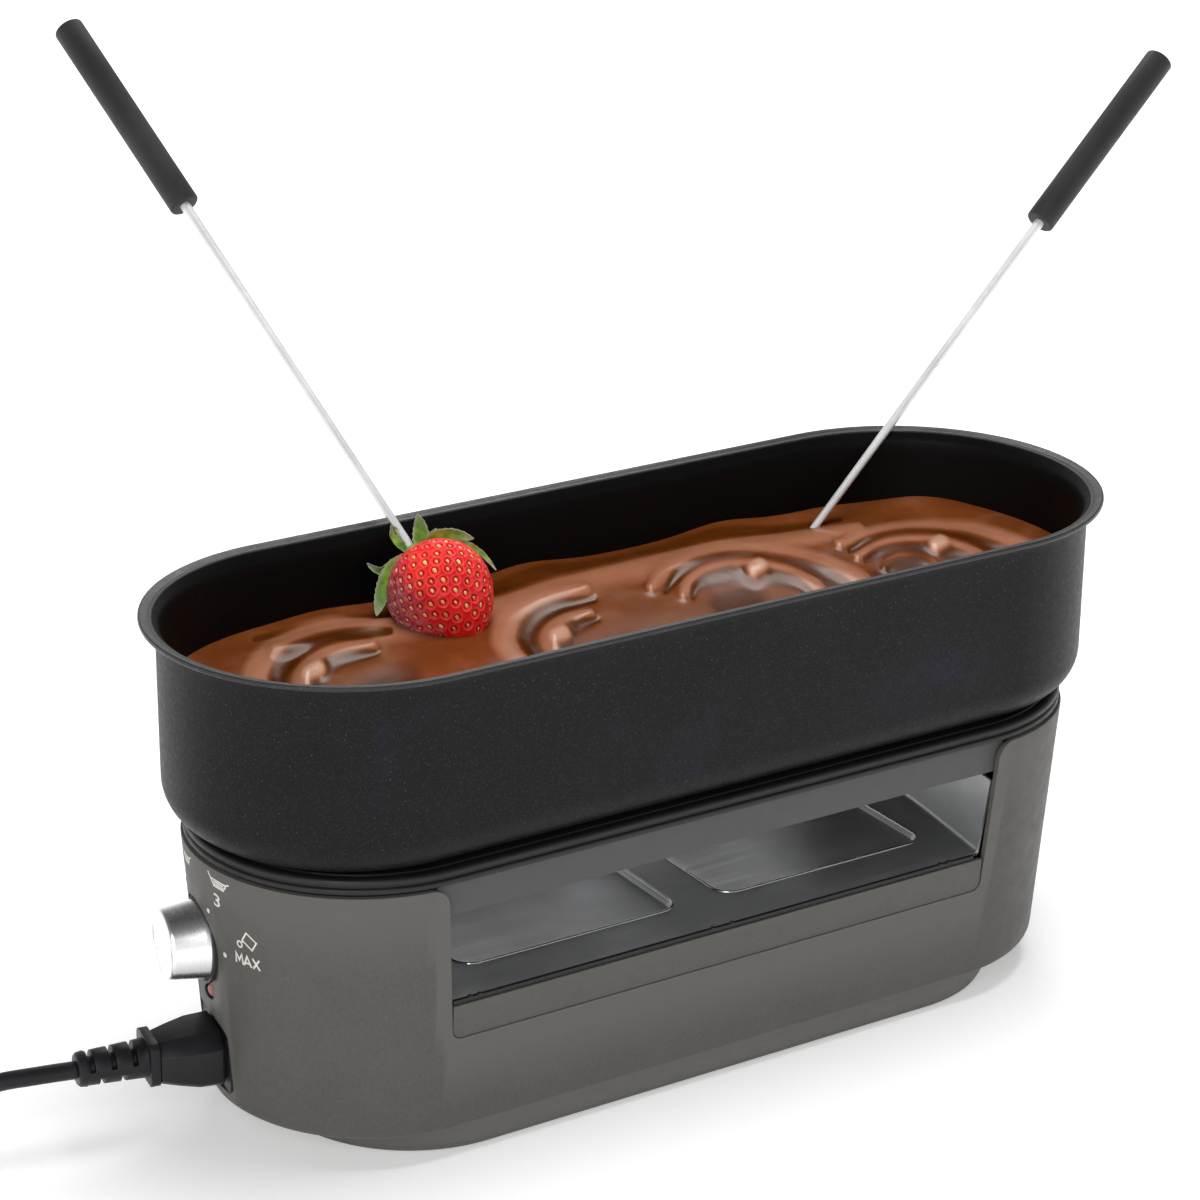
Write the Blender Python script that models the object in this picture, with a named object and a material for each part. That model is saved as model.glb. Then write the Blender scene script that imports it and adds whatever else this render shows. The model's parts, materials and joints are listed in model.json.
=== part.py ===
"""Electric raclette and fondue set: base, pot, two forks and a detachable mains lead.

Everything is laid out about the centre of the base on the table, long side along X and the
control end at -X. At the end the whole set is shifted so that the bottom centre of its box,
measured without the lead, is the origin. Sizes are in metres.
"""

import math

import bpy
import bmesh
from mathutils import Matrix, Vector

MM = 0.001
GAP = 0.3 * MM

# Base shell: a long outline with round ends, narrower towards the table.
BASE_HALF = 118.4 * MM          # from the centre to the centre of each round end
SHELL_TOP = 110.5 * MM
SHELL_FOOT = 12.0 * MM          # where the round ends stop
SKIRT_BOTTOM = 2.5 * MM
SKIRT_HALF = 105.0 * MM
SHELL_RADIUS_TOP = 65.7 * MM
SHELL_TAPER = 0.0749            # radius lost per metre of height
WALL = 2.2 * MM

# The cut-out in each long side, and what fills it.
CUT_BOTTOM = 48.5 * MM
CUT_HALF_BOTTOM = 117.3 * MM
CUT_HALF_TOP = 120.9 * MM
SILL_TOP = 61.9 * MM
SILL_INSET = 0.6 * MM
TRAY_TOP = 64.0 * MM
TRAY_SHEET = 0.8 * MM
PAN_DEPTH = 1.8 * MM
RAIL_BOTTOM = 97.8 * MM
RAIL_INSET = 3.0 * MM

# Top ring and pot.
RING_BOTTOM = 111.2 * MM
RING_TOP = 117.2 * MM
RING_RADIUS = 64.8 * MM
RING_OPENING = 50.3 * MM
POT_HALF = 122.9 * MM
POT_BOTTOM = RING_TOP + GAP
POT_RADIUS = 67.9 * MM
POT_WALL = 2.0 * MM
POT_CORNER = 15.0 * MM
POT_FLOOR = 121.0 * MM
RIM_TOP = 193.4 * MM
RIM_RADIUS = 74.1 * MM
CHOCOLATE_TOP = 161.0 * MM

# Control end: knob, lamp and inlet share one radial line, turned a little towards the back.
CONTROL_TURN = math.radians(9.5)
FLAT_DEPTH = 1.8 * MM
KNOB_HEIGHT = 74.5 * MM
LAMP_HEIGHT = 54.0 * MM
LAMP_SIDE = 2.0 * MM
INLET_HEIGHT = 31.0 * MM

# Forks: each rod leans on the inner corner of the pot's lip.
FORK_LENGTH = 300.0 * MM
HANDLE_LENGTH = 93.9 * MM
HANDLE_RADIUS = 6.3 * MM
ROD_RADIUS = 1.45 * MM
LIP_RADIUS = 67.2 * MM
LIP_HEIGHT = 193.3 * MM

# Mains lead.
CORD_RADIUS = 3.3 * MM
CORD_START = 110.3 * MM

ARC_STEPS = 20

for leftover in list(bpy.data.objects):
    bpy.data.objects.remove(leftover, do_unlink=True)


# ---------------------------------------------------------------- helpers

def material(name, colour, roughness, metallic=0.0):
    """Principled material with one colour."""
    mat = bpy.data.materials.get(name) or bpy.data.materials.new(name)
    mat.use_nodes = True
    shader = mat.node_tree.nodes["Principled BSDF"]
    shader.inputs["Base Color"].default_value = (*colour, 1.0)
    shader.inputs["Roughness"].default_value = roughness
    shader.inputs["Metallic"].default_value = metallic
    return mat


SHELL_GREY = material("shell_plastic", (0.122, 0.119, 0.108), 0.5)
FRAME_GREY = material("frame_plastic", (0.093, 0.093, 0.092), 0.5)
BLACK = material("black_plastic", (0.02, 0.02, 0.02), 0.45)
STEEL = material("polished_steel", (0.62, 0.63, 0.64), 0.22, 1.0)
SATIN = material("satin_aluminium", (0.82, 0.82, 0.83), 0.28, 1.0)
NONSTICK = material("nonstick_coating", (0.025, 0.025, 0.026), 0.42)
CHOCOLATE = material("chocolate", (0.26, 0.1, 0.045), 0.2)
BERRY_RED = material("strawberry_skin", (0.62, 0.012, 0.01), 0.25)
LEAF_GREEN = material("strawberry_leaf", (0.12, 0.24, 0.03), 0.5)
HANDLE_BLACK = material("handle_plastic", (0.018, 0.018, 0.018), 0.5)
CORD_BLACK = material("cord_rubber", (0.02, 0.02, 0.023), 0.5)
LENS_RED = material("lens_red", (0.5, 0.12, 0.1), 0.2)
BRASS = material("brass", (0.7, 0.5, 0.22), 0.3, 1.0)
FOOT_RUBBER = material("foot_rubber", (0.03, 0.03, 0.03), 0.8)
CERAMIC = material("insulator", (0.75, 0.73, 0.68), 0.6)


def add_mesh(name, points, faces, mat):
    """New object from points and faces, normals turned outwards."""
    mesh = bpy.data.meshes.new(name)
    mesh.from_pydata([tuple(p) for p in points], [], faces)
    mesh.materials.append(mat)
    body = bmesh.new()
    body.from_mesh(mesh)
    bmesh.ops.recalc_face_normals(body, faces=body.faces)
    body.to_mesh(mesh)
    body.free()
    obj = bpy.data.objects.new(name, mesh)
    bpy.context.scene.collection.objects.link(obj)
    return obj


def loft(name, rings, mat, closed=False):
    """Skin rings that have equal counts: capped at both ends, or joined round if closed."""
    count = len(rings[0])
    points = [p for ring in rings for p in ring]
    faces = []
    spans = len(rings) if closed else len(rings) - 1
    for i in range(spans):
        low, high = i * count, ((i + 1) % len(rings)) * count
        for k in range(count):
            j = (k + 1) % count
            faces.append((low + k, low + j, high + j, high + k))
    if not closed:
        faces.append(tuple(reversed(range(count))))
        faces.append(tuple(range(len(points) - count, len(points))))
    return add_mesh(name, points, faces, mat)


def stadium(half, radius, z, steps=ARC_STEPS):
    """Outline with straight long sides and round ends, counter-clockwise."""
    points = []
    for side in (1, -1):
        for i in range(steps + 1):
            a = math.radians(-90 + 180 * i / steps)
            points.append(Vector((side * (half + radius * math.cos(a)), side * radius * math.sin(a), z)))
    return points


def frame_of(axis):
    """Two directions square to an axis."""
    axis = Vector(axis).normalized()
    up = Vector((0, 0, 1)) if abs(axis.z) < 0.95 else Vector((1, 0, 0))
    side = up.cross(axis).normalized()
    return side, axis.cross(side)


def circle(centre, axis, radius, steps):
    """Ring of points about an axis."""
    side, up = frame_of(axis)
    turns = [2 * math.pi * i / steps for i in range(steps)]
    return [centre + side * (radius * math.cos(a)) + up * (radius * math.sin(a)) for a in turns]


def turned(name, origin, axis, profile, mat, steps=24, closed=False):
    """Solid of revolution from (distance along the axis, radius) pairs."""
    axis = Vector(axis).normalized()
    rings = [circle(origin + axis * d, axis, r, steps) for d, r in profile]
    return loft(name, rings, mat, closed)


def extruded(name, outline, travel, mat):
    """Flat outline pushed along a vector."""
    travel = Vector(travel)
    return loft(name, [outline, [p + travel for p in outline]], mat)


def block(name, low, high, mat):
    """Box between two corners."""
    x0, y0, z0 = low
    x1, y1, z1 = high
    outline = [Vector((x0, y0, z0)), Vector((x1, y0, z0)), Vector((x1, y1, z0)), Vector((x0, y1, z0))]
    return extruded(name, outline, (0, 0, z1 - z0), mat)


def rounded(corners, radii, steps=5):
    """Polygon of (u, v) corners with each corner rounded by its radius."""
    result = []
    count = len(corners)
    for i, radius in enumerate(radii):
        here = Vector(corners[i])
        before = (Vector(corners[i - 1]) - here).normalized()
        after = (Vector(corners[(i + 1) % count]) - here).normalized()
        if radius == 0:
            result.append(here)
            continue
        half_angle = before.angle(after) / 2
        centre = here + (before + after).normalized() * (radius / math.sin(half_angle))
        start = here + before * (radius / math.tan(half_angle)) - centre
        end = here + after * (radius / math.tan(half_angle)) - centre
        sweep = start.angle_signed(end)
        for k in range(steps + 1):
            turn = Matrix.Rotation(-sweep * k / steps, 2)
            result.append(centre + turn @ start)
    return result


def rounded_box(low, high, radius):
    """Rounded rectangle between two (u, v) corners."""
    corners = [(low[0], low[1]), (high[0], low[1]), (high[0], high[1]), (low[0], high[1])]
    return rounded(corners, [radius] * 4)


def combine(obj, tool, operation="DIFFERENCE"):
    """Apply one boolean and throw the tool away."""
    step = obj.modifiers.new(operation.title(), "BOOLEAN")
    step.operation = operation
    step.solver = "EXACT"
    step.object = tool
    depsgraph = bpy.context.evaluated_depsgraph_get()
    obj.data = bpy.data.meshes.new_from_object(obj.evaluated_get(depsgraph))
    obj.modifiers.clear()
    bpy.data.objects.remove(tool, do_unlink=True)
    return obj


def smooth(obj, angle=35):
    """Smooth shading with hard edges kept."""
    obj.data.shade_smooth()
    obj.data.set_sharp_from_angle(angle=math.radians(angle))
    return obj


def put_origin(obj, point):
    """Move an object's origin to a point without moving its mesh."""
    obj.data.transform(Matrix.Translation(-Vector(point)))
    obj.location = point
    return obj


def shell_radius(z):
    """Outer radius of the base's round ends at a height."""
    return SHELL_RADIUS_TOP - SHELL_TAPER * (SHELL_TOP - z)


# ---------------------------------------------------------------- control end directions

OUT = Vector((-math.cos(CONTROL_TURN), math.sin(CONTROL_TURN), 0))
SIDE = Vector((-math.sin(CONTROL_TURN), -math.cos(CONTROL_TURN), 0))
END_CENTRE = Vector((-BASE_HALF, 0, 0))


def at_end(out, side, z):
    """Point at the control end: distance outwards, distance sideways, height."""
    return END_CENTRE + OUT * out + SIDE * side + Vector((0, 0, z))


def flat_out(z):
    """How far out the control flat is at a height."""
    return shell_radius(z) - FLAT_DEPTH


# ---------------------------------------------------------------- base

def end_cutter():
    """Flat on the control end, with a round seat for the knob."""
    rings = []
    for z in (17.5 * MM, KNOB_HEIGHT):
        near = flat_out(z)
        rings.append([at_end(near, -22 * MM, z), at_end(near, 22 * MM, z),
                      at_end(near + 20 * MM, 22 * MM, z), at_end(near + 20 * MM, -22 * MM, z)])
    return loft("end_cutter", rings, SHELL_GREY)


def cut_outline(y):
    """Outline of the cut-out in a long side, with the wings' top corners rounded outwards."""
    top = SHELL_TOP
    reach = 7 * MM
    over = top + 5 * MM
    corners = [
        (-CUT_HALF_BOTTOM, CUT_BOTTOM), (CUT_HALF_BOTTOM, CUT_BOTTOM), (CUT_HALF_TOP, top),
        (CUT_HALF_TOP + 2.2 * reach, top + 0.05 * MM), (CUT_HALF_TOP + 2.2 * reach, over),
        (-CUT_HALF_TOP - 2.2 * reach, over), (-CUT_HALF_TOP - 2.2 * reach, top + 0.05 * MM),
        (-CUT_HALF_TOP, top),
    ]
    radii = [4 * MM, 4 * MM, reach, 0, 0, 0, 0, reach]
    return [Vector((u, y, v)) for u, v in rounded(corners, radii, 6)]


def screw_spots():
    """Four screws along the long sides."""
    return [Vector((x, y, 0)) for x in (-72 * MM, 72 * MM) for y in (-51.3 * MM, 51.3 * MM)]


def make_shell():
    """Base shell: tapered wall, shorter skirt, cut-outs, control flat and holes."""
    ends = ((SHELL_FOOT, 3.6), (SHELL_FOOT + 0.9 * MM, 1.2), (SHELL_FOOT + 2.6 * MM, 0.0))
    rings = [stadium(BASE_HALF - back * MM, shell_radius(z), z) for z, back in ends]
    rings.append(stadium(BASE_HALF, shell_radius(SHELL_TOP) - 0.1 * MM, SHELL_TOP - 0.7 * MM))
    rings.append(stadium(BASE_HALF, shell_radius(SHELL_TOP) - 0.6 * MM, SHELL_TOP))
    shell = loft("base_shell", rings, SHELL_GREY)
    bevel = SKIRT_BOTTOM + 6 * MM
    skirt = loft("skirt", [
        stadium(SKIRT_HALF, shell_radius(SKIRT_BOTTOM) - 1.2 * MM, SKIRT_BOTTOM),
        stadium(SKIRT_HALF, shell_radius(bevel), bevel),
        stadium(SKIRT_HALF, shell_radius(SHELL_FOOT), SHELL_FOOT),
    ], SHELL_GREY)
    combine(shell, skirt, "UNION")
    inner = [stadium(BASE_HALF, shell_radius(z) - WALL, z) for z in (SHELL_FOOT + WALL, SHELL_TOP + MM)]
    combine(shell, loft("hollow", inner, SHELL_GREY))
    low = [stadium(SKIRT_HALF, shell_radius(z) - WALL - 0.6 * MM, z)
           for z in (SKIRT_BOTTOM - MM, SHELL_FOOT + WALL + MM)]
    combine(shell, loft("low_hollow", low, SHELL_GREY))
    for spot in screw_spots():
        boss = turned("boss", spot, (0, 0, 1), [(5.5 * MM, 5 * MM), (21 * MM, 5 * MM)], SHELL_GREY, 16)
        combine(shell, boss, "UNION")
        hole = turned("hole", spot, (0, 0, 1), [(5 * MM, 1.8 * MM), (17 * MM, 1.8 * MM)], SHELL_GREY, 12)
        combine(shell, hole)
    depth = 30 * MM
    for y in (-SHELL_RADIUS_TOP - 5 * MM, SHELL_RADIUS_TOP + 5 * MM - depth):
        combine(shell, extruded("side_cut", cut_outline(y), (0, depth, 0), SHELL_GREY))
    combine(shell, end_cutter())
    seat = flat_out(KNOB_HEIGHT)
    combine(shell, turned("seat", at_end(0, 0, KNOB_HEIGHT), OUT,
                          [(seat, 16.4 * MM), (seat + 12 * MM, 16.4 * MM)], SHELL_GREY, 36))
    combine(shell, turned("shaft_hole", at_end(0, 0, KNOB_HEIGHT), OUT,
                          [(50 * MM, 4.4 * MM), (70 * MM, 4.4 * MM)], SHELL_GREY, 20))
    combine(shell, turned("lamp_hole", at_end(0, LAMP_SIDE, LAMP_HEIGHT), OUT,
                          [(50 * MM, 3.4 * MM), (70 * MM, 3.4 * MM)], SHELL_GREY, 20))
    outline = rounded_box((-16.5 * MM, INLET_HEIGHT - 12.7 * MM), (16.5 * MM, INLET_HEIGHT + 12.7 * MM), 3 * MM)
    combine(shell, extruded("inlet_hole", [at_end(48 * MM, u, v) for u, v in outline], OUT * 20 * MM, SHELL_GREY))
    return smooth(shell)


def make_floor():
    """Base plate, its screws and the feet."""
    low, high = 3.2 * MM, 5.2 * MM
    radius = shell_radius(low) - WALL - 1.5 * MM
    plate = loft("base_plate", [stadium(SKIRT_HALF, radius, z) for z in (low, high)], FRAME_GREY)
    for number, spot in enumerate(screw_spots(), 1):
        hole = turned("hole", spot, (0, 0, 1), [(2 * MM, 1.9 * MM), (7 * MM, 1.9 * MM)], FRAME_GREY, 12)
        combine(plate, hole)
        profile = [(1.2 * MM, 2.0 * MM), (1.5 * MM, 2.9 * MM), (low - GAP, 3.0 * MM),
                   (low - GAP, 1.5 * MM), (15 * MM, 1.5 * MM), (16 * MM, 0.9 * MM)]
        smooth(turned(f"base_screw_{number}", spot, (0, 0, 1), profile, STEEL, 14))
    smooth(plate)
    number = 0
    for x in (-98 * MM, 98 * MM):
        for y in (-38 * MM, 38 * MM):
            number += 1
            profile = [(0, 6.6 * MM), (0.6 * MM, 7.4 * MM), (low - GAP, 7.6 * MM)]
            smooth(turned(f"foot_{number}", Vector((x, y, 0)), (0, 0, 1), profile, FOOT_RUBBER, 20))


def make_sill(name, sign):
    """Lower panel that closes the bottom of a cut-out."""
    bottom = CUT_BOTTOM + GAP
    half_low = CUT_HALF_BOTTOM - GAP - 0.2 * MM
    rings = []
    for z in (bottom, SILL_TOP):
        outer = shell_radius(z) - SILL_INSET
        rings.append([Vector((-half_low, sign * outer, z)), Vector((half_low, sign * outer, z)),
                      Vector((half_low, sign * (outer - 2 * MM), z)),
                      Vector((-half_low, sign * (outer - 2 * MM), z))])
    sill = loft(name, rings, FRAME_GREY)
    for side in (-1, 1):
        corner = [(side * half_low, bottom), (side * (half_low - 4 * MM), bottom),
                  (side * half_low, bottom + 4 * MM)]
        centre = Vector((side * (half_low - 4 * MM), 0, bottom + 4 * MM))
        arc = [centre + Vector((side * 4 * MM * math.sin(a), 0, -4 * MM * math.cos(a)))
               for a in (math.radians(90 * k / 5) for k in range(6))]
        beyond = [Vector((side * (half_low + MM), 0, bottom + 4 * MM)),
                  Vector((side * (half_low + MM), 0, bottom - MM)),
                  Vector((corner[1][0], 0, bottom - MM))]
        outline = [p + Vector((0, sign * 50 * MM, 0)) for p in arc + beyond]
        combine(sill, extruded("corner_cut", outline, (0, sign * 20 * MM, 0), FRAME_GREY))
    return sill


def make_rail(name, sign):
    """Apron under the top ring, set back behind the shell."""
    face = SHELL_RADIUS_TOP - 0.5 * MM - RAIL_INSET
    return block(name, (-117.5 * MM, min(sign * face, sign * (face - 2 * MM)), RAIL_BOTTOM),
                 (117.5 * MM, max(sign * face, sign * (face - 2 * MM)), RING_BOTTOM - GAP), FRAME_GREY)


def end_wall_outline(sign, z, lean):
    """Curved end of the reflector tray, as a thin band in plan."""
    half_depth, bulge = 59.6 * MM, 6 * MM
    radius = (half_depth ** 2 + bulge ** 2) / (2 * bulge)
    reach = math.asin(half_depth / radius)
    angles = [-reach + 2 * reach * i / 14 for i in range(15)]
    middle = 124.5 * MM - radius + lean
    outer = [Vector((sign * (middle + radius * math.cos(a)), radius * math.sin(a), z)) for a in angles]
    inset = radius - TRAY_SHEET
    inner = [Vector((sign * (middle + inset * math.cos(a)), inset * math.sin(a), z)) for a in reversed(angles)]
    return outer, inner


def make_tray():
    """Reflector tray: thin sheet with two sunken pan places and two upright end walls."""
    top, under = TRAY_TOP, TRAY_TOP - TRAY_SHEET
    right, _ = end_wall_outline(1, under, 0)
    left, _ = end_wall_outline(-1, under, 0)
    tray = extruded("reflector_tray", right + list(reversed(left)), (0, 0, TRAY_SHEET), STEEL)
    for low, high in (((-103.5 * MM, -40.5 * MM), (-10.3 * MM, 40.5 * MM)),
                      ((10.3 * MM, -40.5 * MM), (103.5 * MM, 40.5 * MM))):
        rim = [Vector((u, v, under - PAN_DEPTH)) for u, v in rounded_box(low, high, 8 * MM)]
        combine(tray, extruded("pan_outer", rim, (0, 0, PAN_DEPTH + TRAY_SHEET), STEEL), "UNION")
        inner_low = (low[0] + TRAY_SHEET, low[1] + TRAY_SHEET)
        inner_high = (high[0] - TRAY_SHEET, high[1] - TRAY_SHEET)
        well = [Vector((u, v, top - PAN_DEPTH)) for u, v in rounded_box(inner_low, inner_high, 7.2 * MM)]
        combine(tray, extruded("pan_inner", well, (0, 0, 6 * MM), STEEL))
    for sign in (-1, 1):
        rings = []
        for z, lean in ((under, 0), (97.2 * MM, 0.8 * MM)):
            outer, inner = end_wall_outline(sign, z, lean)
            rings.append(outer + inner)
        combine(tray, loft("end_wall", rings, STEEL), "UNION")
    return smooth(tray)


def make_ring():
    """Top ring that carries the pot, with a groove round its edge."""
    profile = [(RING_RADIUS - 0.5 * MM, RING_BOTTOM), (RING_RADIUS, RING_BOTTOM + 0.5 * MM),
               (RING_RADIUS, RING_BOTTOM + 2.2 * MM), (RING_RADIUS - 0.9 * MM, RING_BOTTOM + 2.7 * MM),
               (RING_RADIUS - 0.9 * MM, RING_BOTTOM + 3.3 * MM), (RING_RADIUS, RING_BOTTOM + 3.8 * MM),
               (RING_RADIUS, RING_TOP - 1.2 * MM), (RING_RADIUS - 1.2 * MM, RING_TOP),
               (RING_OPENING, RING_TOP), (RING_OPENING, RING_BOTTOM + 2.5 * MM),
               (RING_OPENING + 3 * MM, RING_BOTTOM)]
    return smooth(loft("top_ring", [stadium(BASE_HALF, r, z) for r, z in profile], BLACK, closed=True))


def tube(name, route, radius, mat, sides=3):
    """Round tube along a list of points."""
    curve = bpy.data.curves.new(name, "CURVE")
    curve.dimensions = "3D"
    curve.bevel_depth = radius
    curve.bevel_resolution = sides
    curve.use_fill_caps = True
    line = curve.splines.new("POLY")
    line.points.add(len(route) - 1)
    for point, place in zip(line.points, route):
        point.co = (*place, 1.0)
    curve.materials.append(mat)
    obj = bpy.data.objects.new(name, curve)
    bpy.context.scene.collection.objects.link(obj)
    return obj


def smooth_route(knots, spacing):
    """Evenly spaced points on a smooth curve through the knots."""
    knots = [Vector(k) for k in knots]
    padded = [2 * knots[0] - knots[1]] + knots + [2 * knots[-1] - knots[-2]]
    fine = []
    for a, b, c, d in zip(padded, padded[1:], padded[2:], padded[3:]):
        for k in range(20):
            t = k / 20
            fine.append(0.5 * (2 * b + (c - a) * t + (2 * a - 5 * b + 4 * c - d) * t ** 2
                               + (3 * b - a - 3 * c + d) * t ** 3))
    fine.append(knots[-1])
    lengths = [0.0]
    for p, q in zip(fine, fine[1:]):
        lengths.append(lengths[-1] + (q - p).length)
    count = max(2, round(lengths[-1] / spacing))
    route, k = [], 0
    for i in range(count + 1):
        target = lengths[-1] * i / count
        while k < len(fine) - 2 and lengths[k + 1] < target:
            k += 1
        part = (target - lengths[k]) / max(lengths[k + 1] - lengths[k], 1e-9)
        route.append(fine[k].lerp(fine[k + 1], part))
    return route


def make_heater():
    """Tubular element under the pot, its brackets and the thermal fuse."""
    spread, height = 28 * MM, 104 * MM
    route = [Vector((x * MM, -spread, height)) for x in (-138, -100, -50, 0, 50, 84)]
    route += [Vector((84 * MM + spread * math.cos(a), spread * math.sin(a), height))
              for a in (math.radians(-90 + 15 * k) for k in range(1, 12))]
    route += [Vector((x * MM, spread, height)) for x in (84, 50, 0, -50, -100, -138)]
    tube("heating_element", route, 3.2 * MM, STEEL)
    for number, x in enumerate((-80 * MM, 0, 80 * MM), 1):
        block(f"element_bracket_{number}", (x - 4 * MM, -59.5 * MM, 98.6 * MM),
              (x + 4 * MM, 59.5 * MM, 100.4 * MM), STEEL)
    fuse = [(-9 * MM, 1.2 * MM), (-7 * MM, 2.4 * MM), (7 * MM, 2.4 * MM), (9 * MM, 1.2 * MM)]
    smooth(turned("thermal_fuse", Vector((0, 0, 103.1 * MM)), (0, 1, 0), fuse, CERAMIC, 14))
    for number, y in enumerate((-spread, spread), 1):
        block(f"element_terminal_{number}", (-148 * MM, y - 3 * MM, 103.5 * MM),
              (-138.4 * MM, y + 3 * MM, 104.5 * MM), BRASS)


# ---------------------------------------------------------------- control end

def end_block(name, out, side, z, mat):
    """Box at the control end between (low, high) pairs."""
    outline = [at_end(out[0], s, h) for s, h in ((side[0], z[0]), (side[1], z[0]), (side[1], z[1]), (side[0], z[1]))]
    return extruded(name, outline, OUT * (out[1] - out[0]), mat)


def make_knob():
    """Knob on the thermostat's shaft, with its dark bezel."""
    axis_point = at_end(0, 0, KNOB_HEIGHT)
    seat = flat_out(KNOB_HEIGHT)
    bezel = [(seat + GAP, 4.8 * MM), (seat + GAP, 16.0 * MM), (seat + 1.1 * MM, 16.0 * MM),
             (seat + 1.6 * MM, 15.4 * MM), (seat + 1.6 * MM, 4.8 * MM)]
    smooth(turned("knob_bezel", axis_point, OUT, bezel, BLACK, 36, closed=True))
    back, front = seat + 2.2 * MM, 76.6 * MM
    profile = [(front - 3 * MM, 3.3 * MM), (back, 3.3 * MM), (back, 13.6 * MM), (back + 0.6 * MM, 13.9 * MM),
               (front - 1.2 * MM, 12.9 * MM), (front - 0.5 * MM, 12.6 * MM), (front, 11.9 * MM)]
    knob = turned("control_knob", axis_point, OUT, profile, SATIN, 48)
    off = math.radians(-125)
    sideways = SIDE * math.sin(off) + Vector((0, 0, math.cos(off)))
    across = OUT.cross(sideways)
    start = axis_point + OUT * (front - 0.5 * MM) + sideways * 5 * MM
    groove = [start - across * 0.6 * MM, start + across * 0.6 * MM,
              start + across * 0.6 * MM + sideways * 9 * MM, start - across * 0.6 * MM + sideways * 9 * MM]
    combine(knob, extruded("groove", groove, OUT * 2 * MM, SATIN))
    put_origin(smooth(knob), axis_point + OUT * back)
    shaft = turned("thermostat_shaft", axis_point, OUT,
                   [(50 * MM, 2.9 * MM), (front - 3.4 * MM, 2.9 * MM)], BRASS, 16)
    put_origin(smooth(shaft), axis_point + OUT * back)
    body = end_block("thermostat_body", (36 * MM, 55.5 * MM), (-14 * MM, 14 * MM), (62 * MM, 88 * MM), CERAMIC)
    combine(body, turned("bore", axis_point, OUT, [(49.5 * MM, 3.3 * MM), (58 * MM, 3.3 * MM)], CERAMIC, 20))


def make_lamp():
    """Neon lamp, its lens and the dark ring round it."""
    centre = at_end(0, LAMP_SIDE, LAMP_HEIGHT)
    face = flat_out(LAMP_HEIGHT)
    ring = [(face - 2 * MM, 2.7 * MM), (face - 2 * MM, 3.1 * MM), (face + 0.3 * MM, 3.1 * MM),
            (face + 0.3 * MM, 2.7 * MM)]
    smooth(turned("lamp_ring", centre, OUT, ring, BLACK, 24, closed=True))
    lens = [(face - 5 * MM, 2.35 * MM), (face - 0.5 * MM, 2.35 * MM), (face, 1.9 * MM), (face + 0.25 * MM, 1.0 * MM)]
    smooth(turned("indicator_lens", centre, OUT, lens, LENS_RED, 24))
    neon = [(40 * MM, 1.2 * MM), (41 * MM, 2.0 * MM), (face - 5.6 * MM, 2.0 * MM)]
    smooth(turned("neon_lamp", centre, OUT, neon, LENS_RED, 14))


PIN_PLACES = ((-7 * MM, -2 * MM), (7 * MM, -2 * MM), (0, 2 * MM))


def make_inlet():
    """Appliance inlet with its cavity and three pins."""
    z = INLET_HEIGHT
    front = 57.6 * MM
    plate = rounded_box((-16.2 * MM, z - 12.4 * MM), (16.2 * MM, z + 12.4 * MM), 2.8 * MM)
    inlet = extruded("appliance_inlet", [at_end(front - 2.4 * MM, u, v) for u, v in plate], OUT * 2.4 * MM, BLACK)
    shroud = rounded_box((-14 * MM, z - 10 * MM), (14 * MM, z + 10 * MM), 2 * MM)
    combine(inlet, extruded("shroud", [at_end(38 * MM, u, v) for u, v in shroud], OUT * 18 * MM, BLACK), "UNION")
    cavity = rounded_box((-12.1 * MM, z - 8.3 * MM), (12.1 * MM, z + 8.3 * MM), MM)
    combine(inlet, extruded("cavity", [at_end(41.4 * MM, u, v) for u, v in cavity], OUT * 20 * MM, BLACK))
    for number, (side, up) in enumerate(PIN_PLACES, 1):
        side_span = (side - MM, side + MM)
        up_span = (z + up - 2 * MM, z + up + 2 * MM)
        loose = (side - MM - GAP, side + MM + GAP), (up_span[0] - GAP, up_span[1] + GAP)
        combine(inlet, end_block("pin_hole", (36 * MM, 43 * MM), *loose, BLACK))
        end_block(f"inlet_pin_{number}", (32 * MM, 54 * MM), side_span, up_span, BRASS)


def make_wiring():
    """Terminal block and the three wires held inside the base."""
    end_block("terminal_block", (10 * MM, 22 * MM), (-16 * MM, 16 * MM), (5.6 * MM, 17 * MM), CERAMIC)
    z = INLET_HEIGHT
    routes = {
        "wire_live": [at_end(31.6 * MM, 7 * MM, z - 2 * MM), at_end(29 * MM, 7 * MM, z - 2 * MM),
                      at_end(24 * MM, 9 * MM, z + 6 * MM), at_end(27 * MM, 9 * MM, 58 * MM),
                      at_end(33 * MM, 8 * MM, 70 * MM), at_end(35.6 * MM, 8 * MM, 70.5 * MM)],
        "wire_neutral": [at_end(31.6 * MM, -7 * MM, z - 2 * MM), at_end(29 * MM, -7 * MM, z - 2 * MM),
                         at_end(18 * MM, -8 * MM, z - 6 * MM), at_end(16 * MM, -8 * MM, 20 * MM),
                         at_end(16 * MM, -8 * MM, 17.4 * MM)],
        "wire_earth": [at_end(31.6 * MM, 0, z + 2 * MM), at_end(29 * MM, 0, z + 2 * MM),
                       at_end(18 * MM, 1 * MM, z - 6 * MM), at_end(16 * MM, 2 * MM, 20 * MM),
                       at_end(16 * MM, 2 * MM, 17.4 * MM)],
    }
    for name, knots in routes.items():
        tube(name, smooth_route(knots, 4 * MM), 1.1 * MM, CORD_BLACK, 2)


# ---------------------------------------------------------------- pot and food

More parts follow.
